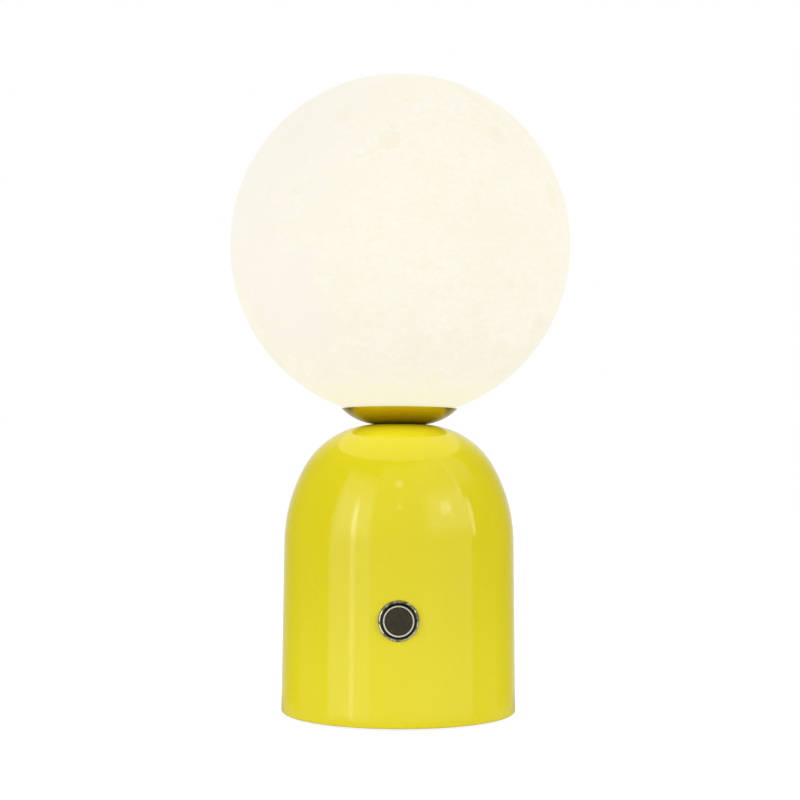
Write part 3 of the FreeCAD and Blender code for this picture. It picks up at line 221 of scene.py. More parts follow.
def makeWorld():
    world = bpy.data.worlds.new("studioWorld")
    world.use_nodes = True
    bpy.context.scene.world = world
    tree = world.node_tree
    background = tree.nodes["Background"]
    direction = addNode(tree, "ShaderNodeTexCoord")
    parts = addNode(tree, "ShaderNodeSeparateXYZ")
    feed(tree, parts.inputs[0], direction.outputs["Generated"])
    forward = calculate(tree, "MULTIPLY", parts.outputs["Y"], -1)
    turn = calculate(tree, "DEGREES", calculate(tree, "ARCTAN2", parts.outputs["X"], forward))
    rise = calculate(tree, "DEGREES", calculate(tree, "ARCSINE", parts.outputs["Z"]))
    sideways = calculate(tree, "ABSOLUTE", turn)
    near, far = studio["backdropAngles"]
    foot, level, share = studio["backdropFoot"]
    bright = calculate(tree, "MULTIPLY", fitRange(tree, rise, foot, level, share, 1), studio["backdropGlow"])
    glow = fitRange(tree, sideways, near, far, studio["roomGlow"], bright, smooth=True)
    for sides, ends, strength, softness in studio["boxes"].values():
        across = softWindow(tree, turn, *sides, softness)
        upright = softWindow(tree, rise, *ends, min(2 * softness, (ends[1] - ends[0]) / 3))
        shown = calculate(tree, "MULTIPLY", calculate(tree, "MULTIPLY", across, upright), strength)
        glow = calculate(tree, "ADD", glow, shown)
    path = addNode(tree, "ShaderNodeLightPath")
    front, behind, overhead = studio["fill"]
    around = fitRange(tree, sideways, *studio["fillTurn"], front, behind, smooth=True)
    upwards = fitRange(tree, rise, *studio["fillRise"], 1, overhead, smooth=True)
    fill = calculate(tree, "MULTIPLY", around, upwards)
    seen = fitRange(tree, path.outputs["Is Glossy Ray"], 0, 1, fill, glow)
    white = calculate(tree, "MAXIMUM", path.outputs["Is Camera Ray"], path.outputs["Is Transmission Ray"])
    feed(tree, background.inputs["Strength"], fitRange(tree, white, 0, 1, seen, 1.0))
    feed(tree, background.inputs["Color"], (1, 1, 1, 1))


def makeFloor():
    shape = bmesh.new()
    bmesh.ops.create_grid(shape, x_segments=1, y_segments=1, size=studio["floorHalf"])
    mesh = bpy.data.meshes.new("studioFloor")
    shape.to_mesh(mesh)
    shape.free()
    floor = bpy.data.objects.new("studioFloor", mesh)
    bpy.context.collection.objects.link(floor)
    material = bpy.data.materials.new("paleFloor")
    material.use_nodes = True
    tree = material.node_tree
    tree.nodes.clear()
    path = addNode(tree, "ShaderNodeLightPath")
    inView, inGloss = path.outputs["Is Camera Ray"], path.outputs["Is Glossy Ray"]
    paper = addNode(tree, "ShaderNodeBsdfDiffuse")
    grain = noisePattern(tree, objectPoint(tree), studio["floorGrain"])
    away = distanceFrom(tree, (0, 0, 0), (1, 1, 0))
    pool = fitRange(tree, away, *studio["pool"], smooth=True)
    lit = fitRange(tree, inView, 0, 1, pool, studio["floorShare"])
    shown = fitRange(tree, inGloss, 0, 1, lit, 0)
    pale = blendColours(tree, grain, *studio["floorColours"])
    feed(tree, paper.inputs["Color"], blendColours(tree, shown, (0, 0, 0), pale))
    glow = addNode(tree, "ShaderNodeEmission")
    bright = calculate(tree, "MULTIPLY", inView, studio["floorGlow"])
    feed(tree, glow.inputs["Strength"], fitRange(tree, inGloss, 0, 1, bright, studio["floorGloss"]))
    seen = addNode(tree, "ShaderNodeAddShader")
    feed(tree, seen.inputs[0], paper.outputs[0])
    feed(tree, seen.inputs[1], glow.outputs[0])
    beyond = fitRange(tree, away, *studio["tableEdge"], 0, 1, smooth=True)
    clear = addNode(tree, "ShaderNodeBsdfTransparent")
    table = addNode(tree, "ShaderNodeMixShader")
    feed(tree, table.inputs[0], calculate(tree, "MULTIPLY", beyond, inGloss))
    feed(tree, table.inputs[1], seen.outputs[0])
    feed(tree, table.inputs[2], clear.outputs[0])
    output = addNode(tree, "ShaderNodeOutputMaterial")
    feed(tree, output.inputs["Surface"], table.outputs[0])
    mesh.materials.append(material)


def makeLamp(name, lamp):
    data = bpy.data.lights.new(name, "AREA")
    data.shape = "RECTANGLE"
    data.size, data.size_y = lamp["size"]
    data.energy = lamp["power"]
    light = bpy.data.objects.new(name, data)
    light.location = lamp["place"]
    aim = Vector(studio["lampAim"]) - Vector(lamp["place"])
    light.rotation_euler = aim.to_track_quat("-Z", "Y").to_euler()
    light.visible_glossy = False
    bpy.context.collection.objects.link(light)


makeWorld()
makeFloor()
for lampName, lampSetting in studio["lamps"].items():
    makeLamp(lampName, lampSetting)
print("studio lit")


# Tools for turned pieces

def drawRuns(shape, start, runs):
    # a run is (x, z) for a straight line, or (centreX, centreZ, degrees, steps) for an arc
    tip = shape.verts.new((start[0] * mm, 0, start[1] * mm))
    for run in runs:
        if len(run) == 2:
            tip = bmesh.ops.extrude_vert_indiv(shape, verts=[tip])["verts"][0]
            tip.co = (run[0] * mm, 0, run[1] * mm)
        else:
            centreX, centreZ, degrees, steps = run
            arc = bmesh.ops.spin(
                shape, geom=[tip], cent=(centreX * mm, 0, centreZ * mm), axis=(0, 1, 0),
                angle=math.radians(degrees), steps=steps,
            )
            tip = arc["geom_last"][0]


def turnShape(shape, steps):
    profile = shape.verts[:] + shape.edges[:]
    bmesh.ops.spin(
        shape, geom=profile, cent=(0, 0, 0), axis=(0, 0, 1), angle=math.tau, steps=steps, use_merge=True
    )
    bmesh.ops.remove_doubles(shape, verts=shape.verts[:], dist=0.0005 * mm)
    bmesh.ops.recalc_face_normals(shape, faces=shape.faces[:])


def turnedShape(start, runs, steps):
    shape = bmesh.new()
    drawRuns(shape, start, [*runs, start])
    turnShape(shape, steps)
    return shape


def makeObject(name, shape):
    mesh = bpy.data.meshes.new(name)
    shape.to_mesh(mesh)
    shape.free()
    piece = bpy.data.objects.new(name, mesh)
    bpy.context.collection.objects.link(piece)
    return piece


def finishPiece(piece, material, body, slot, *replaced, sharp=32):
    piece.data.shade_smooth()
    piece.data.set_sharp_from_angle(angle=math.radians(sharp))
    piece.data.materials.clear()
    piece.data.materials.append(material)
    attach(piece, body)
    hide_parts(*replaced)


def cutWith(piece, tool, operation="DIFFERENCE"):
    cutter = piece.modifiers.new("cut", "BOOLEAN")
    cutter.operation = operation
    cutter.solver = "EXACT"
    cutter.object = tool
    bpy.context.view_layer.update()
    made = bpy.data.meshes.new_from_object(piece.evaluated_get(bpy.context.evaluated_depsgraph_get()))
    piece.modifiers.clear()
    piece.data = made
    bpy.data.objects.remove(tool)


def addRod(shape, centre, radius, length, axis="Z", segments=96):
    # a plain rod, centred, along Z or along Y
    turn = Matrix.Rotation(math.radians(90), 4, "X") if axis == "Y" else Matrix.Identity(4)
    bmesh.ops.create_cone(
        shape, cap_ends=True, segments=segments, radius1=radius * mm, radius2=radius * mm,
        depth=length * mm, matrix=Matrix.Translation(Vector(centre) * mm) @ turn,
    )


# Painted shell, in millimetres

shell = {
    "foot": 1.0,
    "height": 124.6,
    "footRadius": 50.9,
    "waistRadius": 50.2,
    "wall": 2.0,
    "domeRise": 52.2,                   # from the waist to the crown
    "crownFlat": 10.0,
    "crownArc": 36.0,
    "crownHole": 5.3,
    "edgeRound": 0.8,
    "steps": 288,
    "outerSteps": (40, 56, 24, 6),      # crown, shoulder, rows down the wall, foot's edge
    "innerSteps": (8, 24, 16),          # rows up the wall, shoulder, crown
    "switchHeight": 44.3,
    "seatRadius": 8.38,
    "seatFloor": 49.458,                # from the lamp's axis
    "seatReach": 4.0,
    "barrelHole": 7.6,
    "barrelReach": 10.0,
    "padRadius": 11.5,                  # flat pad on the inside, behind the switch
    "padFace": 46.508,
    "padDepth": 2.2,
    "portHeight": 19.33,
    "portSize": (11.34, 5.66),
    "portMiddle": 49.5,
    "portReach": 10.0,
    "portSteps": 14,
    "bossCircle": 44.7,
    "bossRadius": 4.5,
    "bossHeight": 16.0,
    "coverTop": 4.5,
    "pilotRadius": 1.6,
    "pilotDepth": 12.0,
    "overlap": 1.0,                     # how far a drill starts outside what it drills
    "colours": ((0.725, 0.625, 0.0105), (0.745, 0.650, 0.0125)),
    "speckColour": (0.80, 0.70, 0.05),
    "paintedLightColour": (0.82, 0.715, 0.0145),     # painted light: lighter near the foot and on the crown
    "footPaintedLight": (0.005, 0.075, 0.95, 0),    # metres up and that colour's shares
    "crownPaintedLight": (0.106, 0.122, 0, 0.68),
    "roughness": (0.04, 0.065),
}


def makePaint():
    material, tree, shader = newMaterial("yellowEnamel", IOR=1.5)
    point = objectPoint(tree)
    clouds = noisePattern(tree, point, 9, 3)
    specks = noisePattern(tree, point, 1500, 2)
    colour = mottleColours(tree, clouds, *shell["colours"])
    colour = blendColours(tree, fitRange(tree, specks, 0.62, 0.75, 0, 0.12), colour, shell["speckColour"])
    height = heightOf(tree, point)
    # painted light: the paint turns lighter near the foot and on the crown
    footPaintedLight = fitRange(tree, height, *shell["footPaintedLight"], smooth=True)
    crownPaintedLight = fitRange(tree, height, *shell["crownPaintedLight"], smooth=True)
    endsPaintedLight = calculate(tree, "MAXIMUM", footPaintedLight, crownPaintedLight)
    feed(tree, shader.inputs["Base Color"], blendColours(tree, endsPaintedLight, colour, shell["paintedLightColour"]))
    feed(tree, shader.inputs["Roughness"], spreadNoise(tree, clouds, *shell["roughness"]))
    peel = noisePattern(tree, point, 260, 2)        # fine orange peel over slow waves
    waves = noisePattern(tree, point, 34, 1)
    slow = bump(tree, waves, 0.10, 0.00012)
    feed(tree, shader.inputs["Normal"], bump(tree, peel, 0.05, 0.00003, slow))
    return material


def shellRuns():
    foot, footRadius, waistRadius = shell["foot"], shell["footRadius"], shell["waistRadius"]
    rise, crownArc, flat = shell["domeRise"], shell["crownArc"], shell["crownFlat"]
    wall, edge = shell["wall"], shell["edgeRound"]
    top = foot + shell["height"]
    waist = top - rise
    span = waistRadius - flat
    # the shoulder's arc runs into the crown's arc and the wall without a kink
    shoulderArc = (span ** 2 + rise ** 2 - 2 * rise * crownArc) / (2 * (span - crownArc))
    crownTurn = math.degrees(math.asin((shoulderArc - span) / (shoulderArc - crownArc)))
    shoulderCentre = waistRadius - shoulderArc
    slope = (footRadius - waistRadius) / (waist - foot)

    def wallRow(share, inset):
        z = waist + (foot + edge - waist) * share
        return (waistRadius + slope * (waist - z) - inset, z)

    crownSteps, shoulderSteps, rows, edgeSteps = shell["outerSteps"]
    outside = [
        (flat, top),
        (flat, top - crownArc, crownTurn, crownSteps),
        (shoulderCentre, waist, 90 - crownTurn, shoulderSteps),
        *(wallRow(row / rows, 0) for row in range(1, rows + 1)),
        (footRadius - slope * edge - edge, foot + edge, 90, edgeSteps),
    ]
    innerRows, innerShoulderSteps, innerCrownSteps = shell["innerSteps"]
    inside = [
        (footRadius - wall, foot),
        *(wallRow(1 - row / innerRows, wall) for row in range(1, innerRows + 1)),
        (shoulderCentre, waist, crownTurn - 90, innerShoulderSteps),
        (flat, top - crownArc, -crownTurn, innerCrownSteps),
        (shell["crownHole"], top - wall),
    ]
    return (shell["crownHole"], top), outside + inside


def bossCentres():
    circle = shell["bossCircle"]
    angles = [math.radians(-90 + 120 * step) for step in range(3)]
    return [(circle * math.cos(angle), circle * math.sin(angle)) for angle in angles]


def addPort(shape):
    # a slot through the wall, whose ends are all but half round
    width, height = shell["portSize"]
    port = bmesh.ops.create_cube(shape, size=1)["verts"]
    bmesh.ops.scale(shape, vec=(width * mm, shell["portReach"] * mm, height * mm), verts=port)
    bmesh.ops.translate(shape, vec=(0, shell["portMiddle"] * mm, shell["portHeight"] * mm), verts=port)
    corners = set(port)
    alongWall = [
        edge for edge in shape.edges
        if corners.issuperset(edge.verts) and abs(edge.verts[0].co.y - edge.verts[1].co.y) > mm
    ]
    bmesh.ops.bevel(
        shape, geom=alongWall, offset=(height / 2 - 0.01) * mm, segments=shell["portSteps"], profile=0.5,
        affect="EDGES", material=-1,
    )


def makeShell():
    start, runs = shellRuns()
    piece = makeObject("domeShell", turnedShape(start, runs, shell["steps"]))
    switchHeight, seat, overlap = shell["switchHeight"], shell["seatFloor"], shell["overlap"]

    added = bmesh.new()
    for centre in bossCentres():
        middle = shell["coverTop"] + shell["bossHeight"] / 2
        addRod(added, (*centre, middle), shell["bossRadius"], shell["bossHeight"], segments=48)
    padMiddle = shell["padFace"] + shell["padDepth"] / 2
    addRod(added, (0, -padMiddle, switchHeight), shell["padRadius"], shell["padDepth"], "Y")
    cutWith(piece, makeObject("shellAdditions", added), "UNION")

    # the seat and the hole through it overlap, so each is cut on its own
    seatCut = bmesh.new()
    reach = shell["seatReach"]
    addRod(seatCut, (0, -seat - reach / 2, switchHeight), shell["seatRadius"], reach, "Y")
    cutWith(piece, makeObject("seatCut", seatCut))

    removed = bmesh.new()
    reach = shell["barrelReach"]
    addRod(removed, (0, reach / 2 - overlap - seat, switchHeight), shell["barrelHole"], reach, "Y")
    addPort(removed)
    for centre in bossCentres():
        depth = shell["pilotDepth"] + overlap
        middle = shell["coverTop"] - overlap + depth / 2
        addRod(removed, (*centre, middle), shell["pilotRadius"], depth, segments=32)
    cutWith(piece, makeObject("shellCuts", removed))
    finishPiece(piece, makePaint(), "base", "yellow_paint", "base_shell")


makeShell()
print("painted shell turned")


# Brass cup, in millimetres

cup = {
    "foot": 125.6,
    "hole": 5.3,
    "flat": 9.0,
    "arc": 23.0,
    "height": 6.9,
    "wall": 0.9,
    "lip": 0.18,
    "lipTurn": 0.468,                   # degrees that the lip takes from the inner arc
    "steps": 256,
    "outerSteps": 40,
    "innerSteps": 24,
    "colours": ((0.65, 0.505, 0.047), (0.71, 0.56, 0.073)),
    "cupFootShadeColour": (0.16, 0.11, 0.015),
    "cupFootShadeShare": 0.50,                  # painted shade at the foot, and none at the lip
    "roughness": (0.20, 0.30),
}


def makeBrass():
    material, tree, shader = newMaterial("spunBrass", Metallic=1.0)
    point = objectPoint(tree)
    height = heightOf(tree, point)
    ring = addNode(tree, "ShaderNodeCombineXYZ")    # the spinning marks run round the axis
    feed(tree, ring.inputs["X"], distanceFrom(tree, (0, 0, 0), (1, 1, 0)))
    feed(tree, ring.inputs["Y"], height)
    lines = noisePattern(tree, ring.outputs[0], 2600, 3)
    cloud = noisePattern(tree, point, 60, 3)
    colour = mottleColours(tree, cloud, *cup["colours"])
    foot = cup["foot"] * mm
    # painted shade: the brass turns darker towards its foot
    cupFootShade = fitRange(tree, height, foot, foot + cup["height"] * mm, cup["cupFootShadeShare"], 0)
    feed(tree, shader.inputs["Base Color"], blendColours(tree, cupFootShade, colour, cup["cupFootShadeColour"]))
    feed(tree, shader.inputs["Roughness"], spreadNoise(tree, lines, *cup["roughness"]))
    feed(tree, shader.inputs["Normal"], bump(tree, lines, 0.12, 0.00002))
    return material


def makeCup():
    top, wall, arc, flat, lip = cup["height"], cup["wall"], cup["arc"], cup["flat"], cup["lip"]
    foot = cup["foot"]
    turn = math.degrees(math.acos((arc - top) / arc))
    innerTurn = math.degrees(math.acos((arc - top) / (arc - wall)))
    lipRadius = flat + math.sqrt((arc - wall) ** 2 - (arc - top) ** 2)
    outerEdge = flat + math.sqrt(arc ** 2 - (arc - top) ** 2)
    runs = [
        (flat, foot),
        (flat, foot + arc, -turn, cup["outerSteps"]),
        (outerEdge - lip, foot + top),
        (lipRadius + lip, foot + top),
        (lipRadius, foot + top - lip),
        (flat, foot + arc, innerTurn - cup["lipTurn"], cup["innerSteps"]),
        (cup["hole"], foot + wall),
    ]
    piece = makeObject("brassCup", turnedShape((cup["hole"], foot), runs, cup["steps"]))
    finishPiece(piece, makeBrass(), "base", "cup_brass", "holder_cup")


makeCup()
print("brass cup spun")


# Moon globe, in millimetres

globe = {
    "centre": 203.83,
    "belt": 0.8,                        # straight band between the two halves
    "radius": 75.0,
    "wall": 2.0,
    "neckRadius": 22.6,
    "neckWall": 1.8,
    "neckHeight": 8.0,
    "neckFade": 4.0,                    # the relief grows over this distance from the neck
    "steps": 384,
    "outerSteps": (96, 78),             # upper and lower half
    "innerSteps": (20, 24),             # lower and upper half
    "deepest": 0.55,                    # relief only cuts inwards
    "shallowest": 0.01,
    "ground": 0.16,
    "hills": (5.0, 0.07),               # fineness and depth
    "roughGround": (38.0, 0.06),
    "craterCount": 260,
    "craterSizes": (0.9, 7.5),
    "craterDepths": (0.05, 0.045),      # a part for all, and a part that grows with the root of the size
    "craterReach": 1.6,                 # in crater radii, as are the rim's place and width
    "craterRim": (1.08, 0.17, 0.35),    # place, width and height as a share of the depth
    "seed": 23,
    "plains": (((-66, -26, 208), 26), ((-50, -50, 172), 27), ((-60, -42, 190), 20)),
    "plainEdge": (0.8, 1.1),            # shares of a plain's radius
    "unlitColour": (0.20, 0.195, 0.185),
    "printColours": ((0.935, 0.862, 0.67), (1.0, 0.99, 0.895)),
    "plainColour": (0.945, 0.89, 0.775),
    "plainShare": 0.7,
    "shadePlace": (-56, -30, 244),      # the upper left is lit less
    "shadeColour": (0.905, 0.875, 0.775),
    "shadeLimits": (0, 0.085, 0.85, 0),         # metres away and shares
    # painted reflection: the print turns yellower near its foot, towards the cup and base
    "paintedReflectionColour": (1.0, 0.955, 0.72),
    "paintedReflectionLimits": (0.132, 0.153, 0.8, 0),       # metres up and shares
    "glow": 0.788,
}

# Craters that show in front, as (x, z) shares of the radius, size in mm and depth in mm
frontCraters = [
    (-0.058, 0.440, 5.0, 0.50),
    (-0.075, 0.405, 3.2, 0.50),
    (-0.030, 0.405, 2.4, 0.44),
    (-0.040, 0.520, 2.2, 0.40),
    (-0.115, 0.395, 2.0, 0.38),
    (-0.165, 0.370, 2.4, 0.34),
    (-0.150, 0.320, 1.6, 0.30),
    (-0.215, 0.345, 1.7, 0.30),
    (0.020, 0.455, 1.5, 0.30),
    (-0.545, 0.190, 3.0, 0.44),
    (-0.575, 0.165, 1.8, 0.36),
    (-0.490, 0.210, 1.5, 0.30),
    (-0.520, 0.340, 2.0, 0.32),
    (-0.300, 0.600, 2.0, 0.30),
    (0.340, 0.360, 2.4, 0.28),
    (0.180, 0.080, 1.7, 0.26),
]


def craterList():
    dice = random.Random(globe["seed"])
    craters = []
    for shareX, shareZ, size, depth in frontCraters:
        away = -math.sqrt(1 - shareX ** 2 - shareZ ** 2)
        craters.append((Vector((shareX, away, shareZ)), size, depth))
    smallest, largest = globe["craterSizes"]
    least, growth = globe["craterDepths"]
    for _ in range(globe["craterCount"]):
        lift = dice.uniform(-1, 1)
        around = dice.uniform(0, math.tau)
        flat = math.sqrt(1 - lift ** 2)
        size = smallest + (largest - smallest) * dice.random() ** 4     # most stay small
        depth = least + growth * math.sqrt(size)
        craters.append((Vector((flat * math.cos(around), flat * math.sin(around), lift)), size, depth))
    return craters


def craterDepth(direction, craters, finder):
    # a flat bowl with a low rim that fades into the ground
    radius, reach = globe["radius"], globe["craterReach"]
    rimPlace, rimWidth, rimHeight = globe["craterRim"]
    depth = 0.0
    for _, index, away in finder.find_range(direction, reach * globe["craterSizes"][1] / radius):
        _, size, most = craters[index]
        share = away * radius / size
        if share < reach:
            bowl = most * (1 - min(share, 1) ** 4)
            rim = rimHeight * most * math.exp(-((share - rimPlace) / rimWidth) ** 2)
            depth += bowl - rim
    return depth


def findPlains(tree, ragged):
    # smooth plains lie on the left, rougher ground elsewhere
    plain = 0.0
    fraying = spreadNoise(tree, ragged, -0.010, 0.010)
    for centre, radius in globe["plains"]:
        frayed = calculate(tree, "ADD", distanceFrom(tree, Vector(centre) * mm), fraying)
        edge = [share * radius * mm for share in globe["plainEdge"]]
        inside = fitRange(tree, frayed, *edge, 1, 0, smooth=True)
        plain = calculate(tree, "MAXIMUM", plain, inside)
    return plain


def makeMoonPrint():
    material, tree, shader = newMaterial("moonPrint", Roughness=0.78)
    shader.inputs["Base Color"].default_value = (*globe["unlitColour"], 1)
    point = objectPoint(tree)
    layers = noisePattern(tree, objectPoint(tree, (1, 1, 5)), 110, 4, 0.6)
    crags = noisePattern(tree, objectPoint(tree, (1, 1, 1.4)), 420, 4, 0.7)
    grain = noisePattern(tree, point, 700, 3)
    ragged = noisePattern(tree, point, 38, 5, 0.6)
    plain = findPlains(tree, ragged)

    # how light the print is: crags, printing layers, large patches, relief and plains
    uneven = fitRange(tree, ragged, 0.38, 0.60, 0.55, 1)
    calm = calculate(tree, "MULTIPLY", uneven, fitRange(tree, plain, 0, 1, 1, 0.30))
    speck = calculate(tree, "MULTIPLY", fitRange(tree, crags, 0.36, 0.66, -0.5, 0.5), calm)
    streak = calculate(tree, "MULTIPLY", fitRange(tree, layers, 0.38, 0.64, -0.5, 0.5), uneven)
    light = calculate(tree, "ADD", speck, calculate(tree, "MULTIPLY", streak, 0.35))
    light = calculate(tree, "ADD", light, fitRange(tree, ragged, 0.36, 0.62, -0.18, 0.18))
    relief = addNode(tree, "ShaderNodeAttribute", attribute_name="relief").outputs["Fac"]
    light = calculate(tree, "SUBTRACT", light, fitRange(tree, relief, 0.04, 0.65, -0.05, 1.6))
    light = calculate(tree, "SUBTRACT", light, calculate(tree, "MULTIPLY", plain, 0.25))

    colour = blendColours(tree, fitRange(tree, light, -1, 1, 0, 1), *globe["printColours"])
    plainShare = calculate(tree, "MULTIPLY", plain, globe["plainShare"])
    colour = blendColours(tree, plainShare, colour, globe["plainColour"])
    away = distanceFrom(tree, Vector(globe["shadePlace"]) * mm)
    dim = fitRange(tree, away, *globe["shadeLimits"], smooth=True)
    colour = blendColours(tree, dim, colour, globe["shadeColour"])
    # painted reflection of the yellow base and brass cup near the globe's foot
    low = fitRange(tree, heightOf(tree, point), *globe["paintedReflectionLimits"], smooth=True)
    feed(tree, shader.inputs["Emission Color"], blendColours(tree, low, colour, globe["paintedReflectionColour"]))
    shader.inputs["Emission Strength"].default_value = globe["glow"]
    rough = bump(tree, layers, 0.25, 0.00012)
    rough = bump(tree, crags, 0.35, 0.00020, rough)
    feed(tree, shader.inputs["Normal"], bump(tree, grain, 0.25, 0.00005, rough))
    return material


def turnGlobe():
    radius, wall, middle = globe["radius"], globe["wall"], globe["centre"]
    raised = middle + globe["belt"]
    neck, neckOuter = globe["neckRadius"], globe["neckRadius"] + globe["neckWall"]
    neckTurn = math.degrees(math.asin(neck / radius))
    innerTurn = math.degrees(math.asin(neckOuter / (radius - wall)))
    neckFoot = middle - math.sqrt(radius ** 2 - neck ** 2)
    upperSteps, lowerSteps = globe["outerSteps"]
    innerLowerSteps, innerUpperSteps = globe["innerSteps"]
    runs = [
        (0, raised, 90, upperSteps),
        (radius, middle),
        (0, middle, 90 - neckTurn, lowerSteps),
        (neck, neckFoot + globe["neckHeight"]),
        (neckOuter, neckFoot + globe["neckHeight"]),
        (neckOuter, middle - math.sqrt((radius - wall) ** 2 - neckOuter ** 2)),
        (0, middle, innerTurn - 90, innerLowerSteps),
        (radius - wall, raised),
        (0, raised, -90, innerUpperSteps),
    ]
    shape = bmesh.new()
    drawRuns(shape, (0, raised + radius), runs)
    turnShape(shape, globe["steps"])
    return shape


def carveRelief(shape):
    craters = craterList()
    finder = kdtree.KDTree(len(craters))
    for index, crater in enumerate(craters):
        finder.insert(crater[0], index)
    finder.balance()
    hillScale, hillDepth = globe["hills"]
    roughScale, roughDepth = globe["roughGround"]
    neck = globe["neckRadius"]
    lower, upper = globe["centre"] * mm, (globe["centre"] + globe["belt"]) * mm
    outside = (globe["radius"] - 0.2) * mm      # nearer the middle lie the inside and the neck
    neckEdge = (neck + 0.1) * mm
    layer = shape.verts.layers.float.new("relief")
    for vert in shape.verts:
        arm = vert.co - Vector((0, 0, min(max(vert.co.z, lower), upper)))
        fromAxis = math.hypot(vert.co.x, vert.co.y)
        inLowerHalf = vert.co.z < lower
        if arm.length < outside or (inLowerHalf and fromAxis < neckEdge):
            continue
        direction = arm.normalized()
        hills = noise.fractal(direction * hillScale, 1.0, 2.2, 5) * hillDepth
        fine = noise.fractal(direction * roughScale, 0.9, 2.1, 3) * roughDepth
        depth = globe["ground"] + craterDepth(direction, craters, finder) + hills + fine
        depth = min(max(depth, globe["shallowest"]), globe["deepest"])
        if inLowerHalf:
            depth *= min((fromAxis / mm - neck) / globe["neckFade"], 1)
        vert[layer] = depth
        vert.co -= direction * depth * mm


def makeGlobe():
    shape = turnGlobe()
    carveRelief(shape)
    piece = makeObject("moonShell", shape)
    finishPiece(piece, makeMoonPrint(), "globe", "moon_print", "globe_shell", sharp=50)


makeGlobe()
print("moon globe printed")


# Push button, in millimetres, turned about an upright axis and then laid to face the front

button = {
    "height": shell["switchHeight"],
    "seat": shell["seatFloor"],
    "steps": 160,
    "gasket": 0.5,
    "flange": 8.3,
    "flangeTop": 2.0,
    "bezelRound": 0.85,
    "bezelSteps": 8,
    "well": 6.9,
    "wellEdge": 0.15,
    "wellFloor": -2.0,
    "partition": -3.2,
    "bore": 2.9,
    "chamber": 6.3,
    "barrel": 7.5,
    "barrelEnd": -15.0,
    "head": 6.6,
    "ringInner": 5.7,
    "ringFoot": -0.2,
    "ringRound": 0.25,
    "ringSteps": 6,
    "face": 2.6,
    "capRadius": 5.6,
    "capFace": 2.45,
    "capEdge": 0.12,
    "stem": 2.6,
    "nose": 2.0,
    "bridgeTop": -3.5,
    "stemFoot": -5.3,
    "bezelColours": ((0.20, 0.195, 0.15), (0.74, 0.73, 0.63)),
    "rimColours": ((0.84, 0.80, 0.60), (0.94, 0.90, 0.72)),
    "faceColours": ((0.021, 0.017, 0.008), (0.050, 0.042, 0.023)),
    "faceCloud": (0.024, 0.019, 0.013),
    "gapColour": (0.03, 0.028, 0.02),
    "bezelShade": (0.00745, 0.00775, 0.92, 0),      # metres from the button's axis, and shares
    "rimShade": (0.00622, 0.0064, 0, 0.95),
}


def facingFront(shape):
    turn = Matrix.Rotation(math.radians(90), 4, "X")
    place = Matrix.Translation((0, -button["seat"] * mm, button["height"] * mm))
    bmesh.ops.transform(shape, matrix=place @ turn, verts=shape.verts[:])


def frontPiece(name, start, runs):
    shape = turnedShape(start, runs, button["steps"])
    facingFront(shape)
    return makeObject(name, shape)


def shadeByGap(tree, colour, limits):
    # both sides of the narrow gap round the button lie in its shade
    away = distanceFrom(tree, (0, 0, button["height"] * mm), (1, 0, 1))
    return blendColours(tree, fitRange(tree, away, *limits), colour, button["gapColour"])


def makeChrome():
    material, tree, shader = newMaterial("bezelChrome", Metallic=1.0)
    point = objectPoint(tree)
    marks = noisePattern(tree, point, 900, 3)
    cloud = noisePattern(tree, point, 520, 2)
    colour = blendColours(tree, fitRange(tree, cloud, 0.42, 0.58, 0, 1), *button["bezelColours"])
    feed(tree, shader.inputs["Base Color"], shadeByGap(tree, colour, button["bezelShade"]))
    feed(tree, shader.inputs["Roughness"], spreadNoise(tree, marks, 0.10, 0.20))
    chatter = bump(tree, cloud, 0.5, 0.0001)
    feed(tree, shader.inputs["Normal"], bump(tree, marks, 0.15, 0.00003, chatter))
    return material


def makeRimSteel():
    material, tree, shader = newMaterial("rimSteel", Metallic=1.0)
    marks = noisePattern(tree, objectPoint(tree), 1200, 3)
    colour = mottleColours(tree, marks, *button["rimColours"])
    feed(tree, shader.inputs["Base Color"], shadeByGap(tree, colour, button["rimShade"]))
    feed(tree, shader.inputs["Roughness"], spreadNoise(tree, marks, 0.22, 0.34))
    feed(tree, shader.inputs["Normal"], bump(tree, marks, 0.1, 0.00002))
    return material


def makeButtonFace():
    material, tree, shader = newMaterial("buttonDark", Metallic=0.2, Specular_IOR_Level=0.35)
    point = objectPoint(tree)
    mottle = noisePattern(tree, point, 1400, 4, 0.65)
    cloud = noisePattern(tree, point, 250, 3)
    colour = blendColours(tree, fitRange(tree, mottle, 0.35, 0.7, 0, 1), *button["faceColours"])
    colour = blendColours(tree, fitRange(tree, cloud, 0.45, 0.75, 0, 0.4), colour, button["faceCloud"])
    feed(tree, shader.inputs["Base Color"], colour)
    feed(tree, shader.inputs["Roughness"], spreadNoise(tree, mottle, 0.34, 0.48))
    feed(tree, shader.inputs["Normal"], bump(tree, mottle, 0.3, 0.00004))
    return material


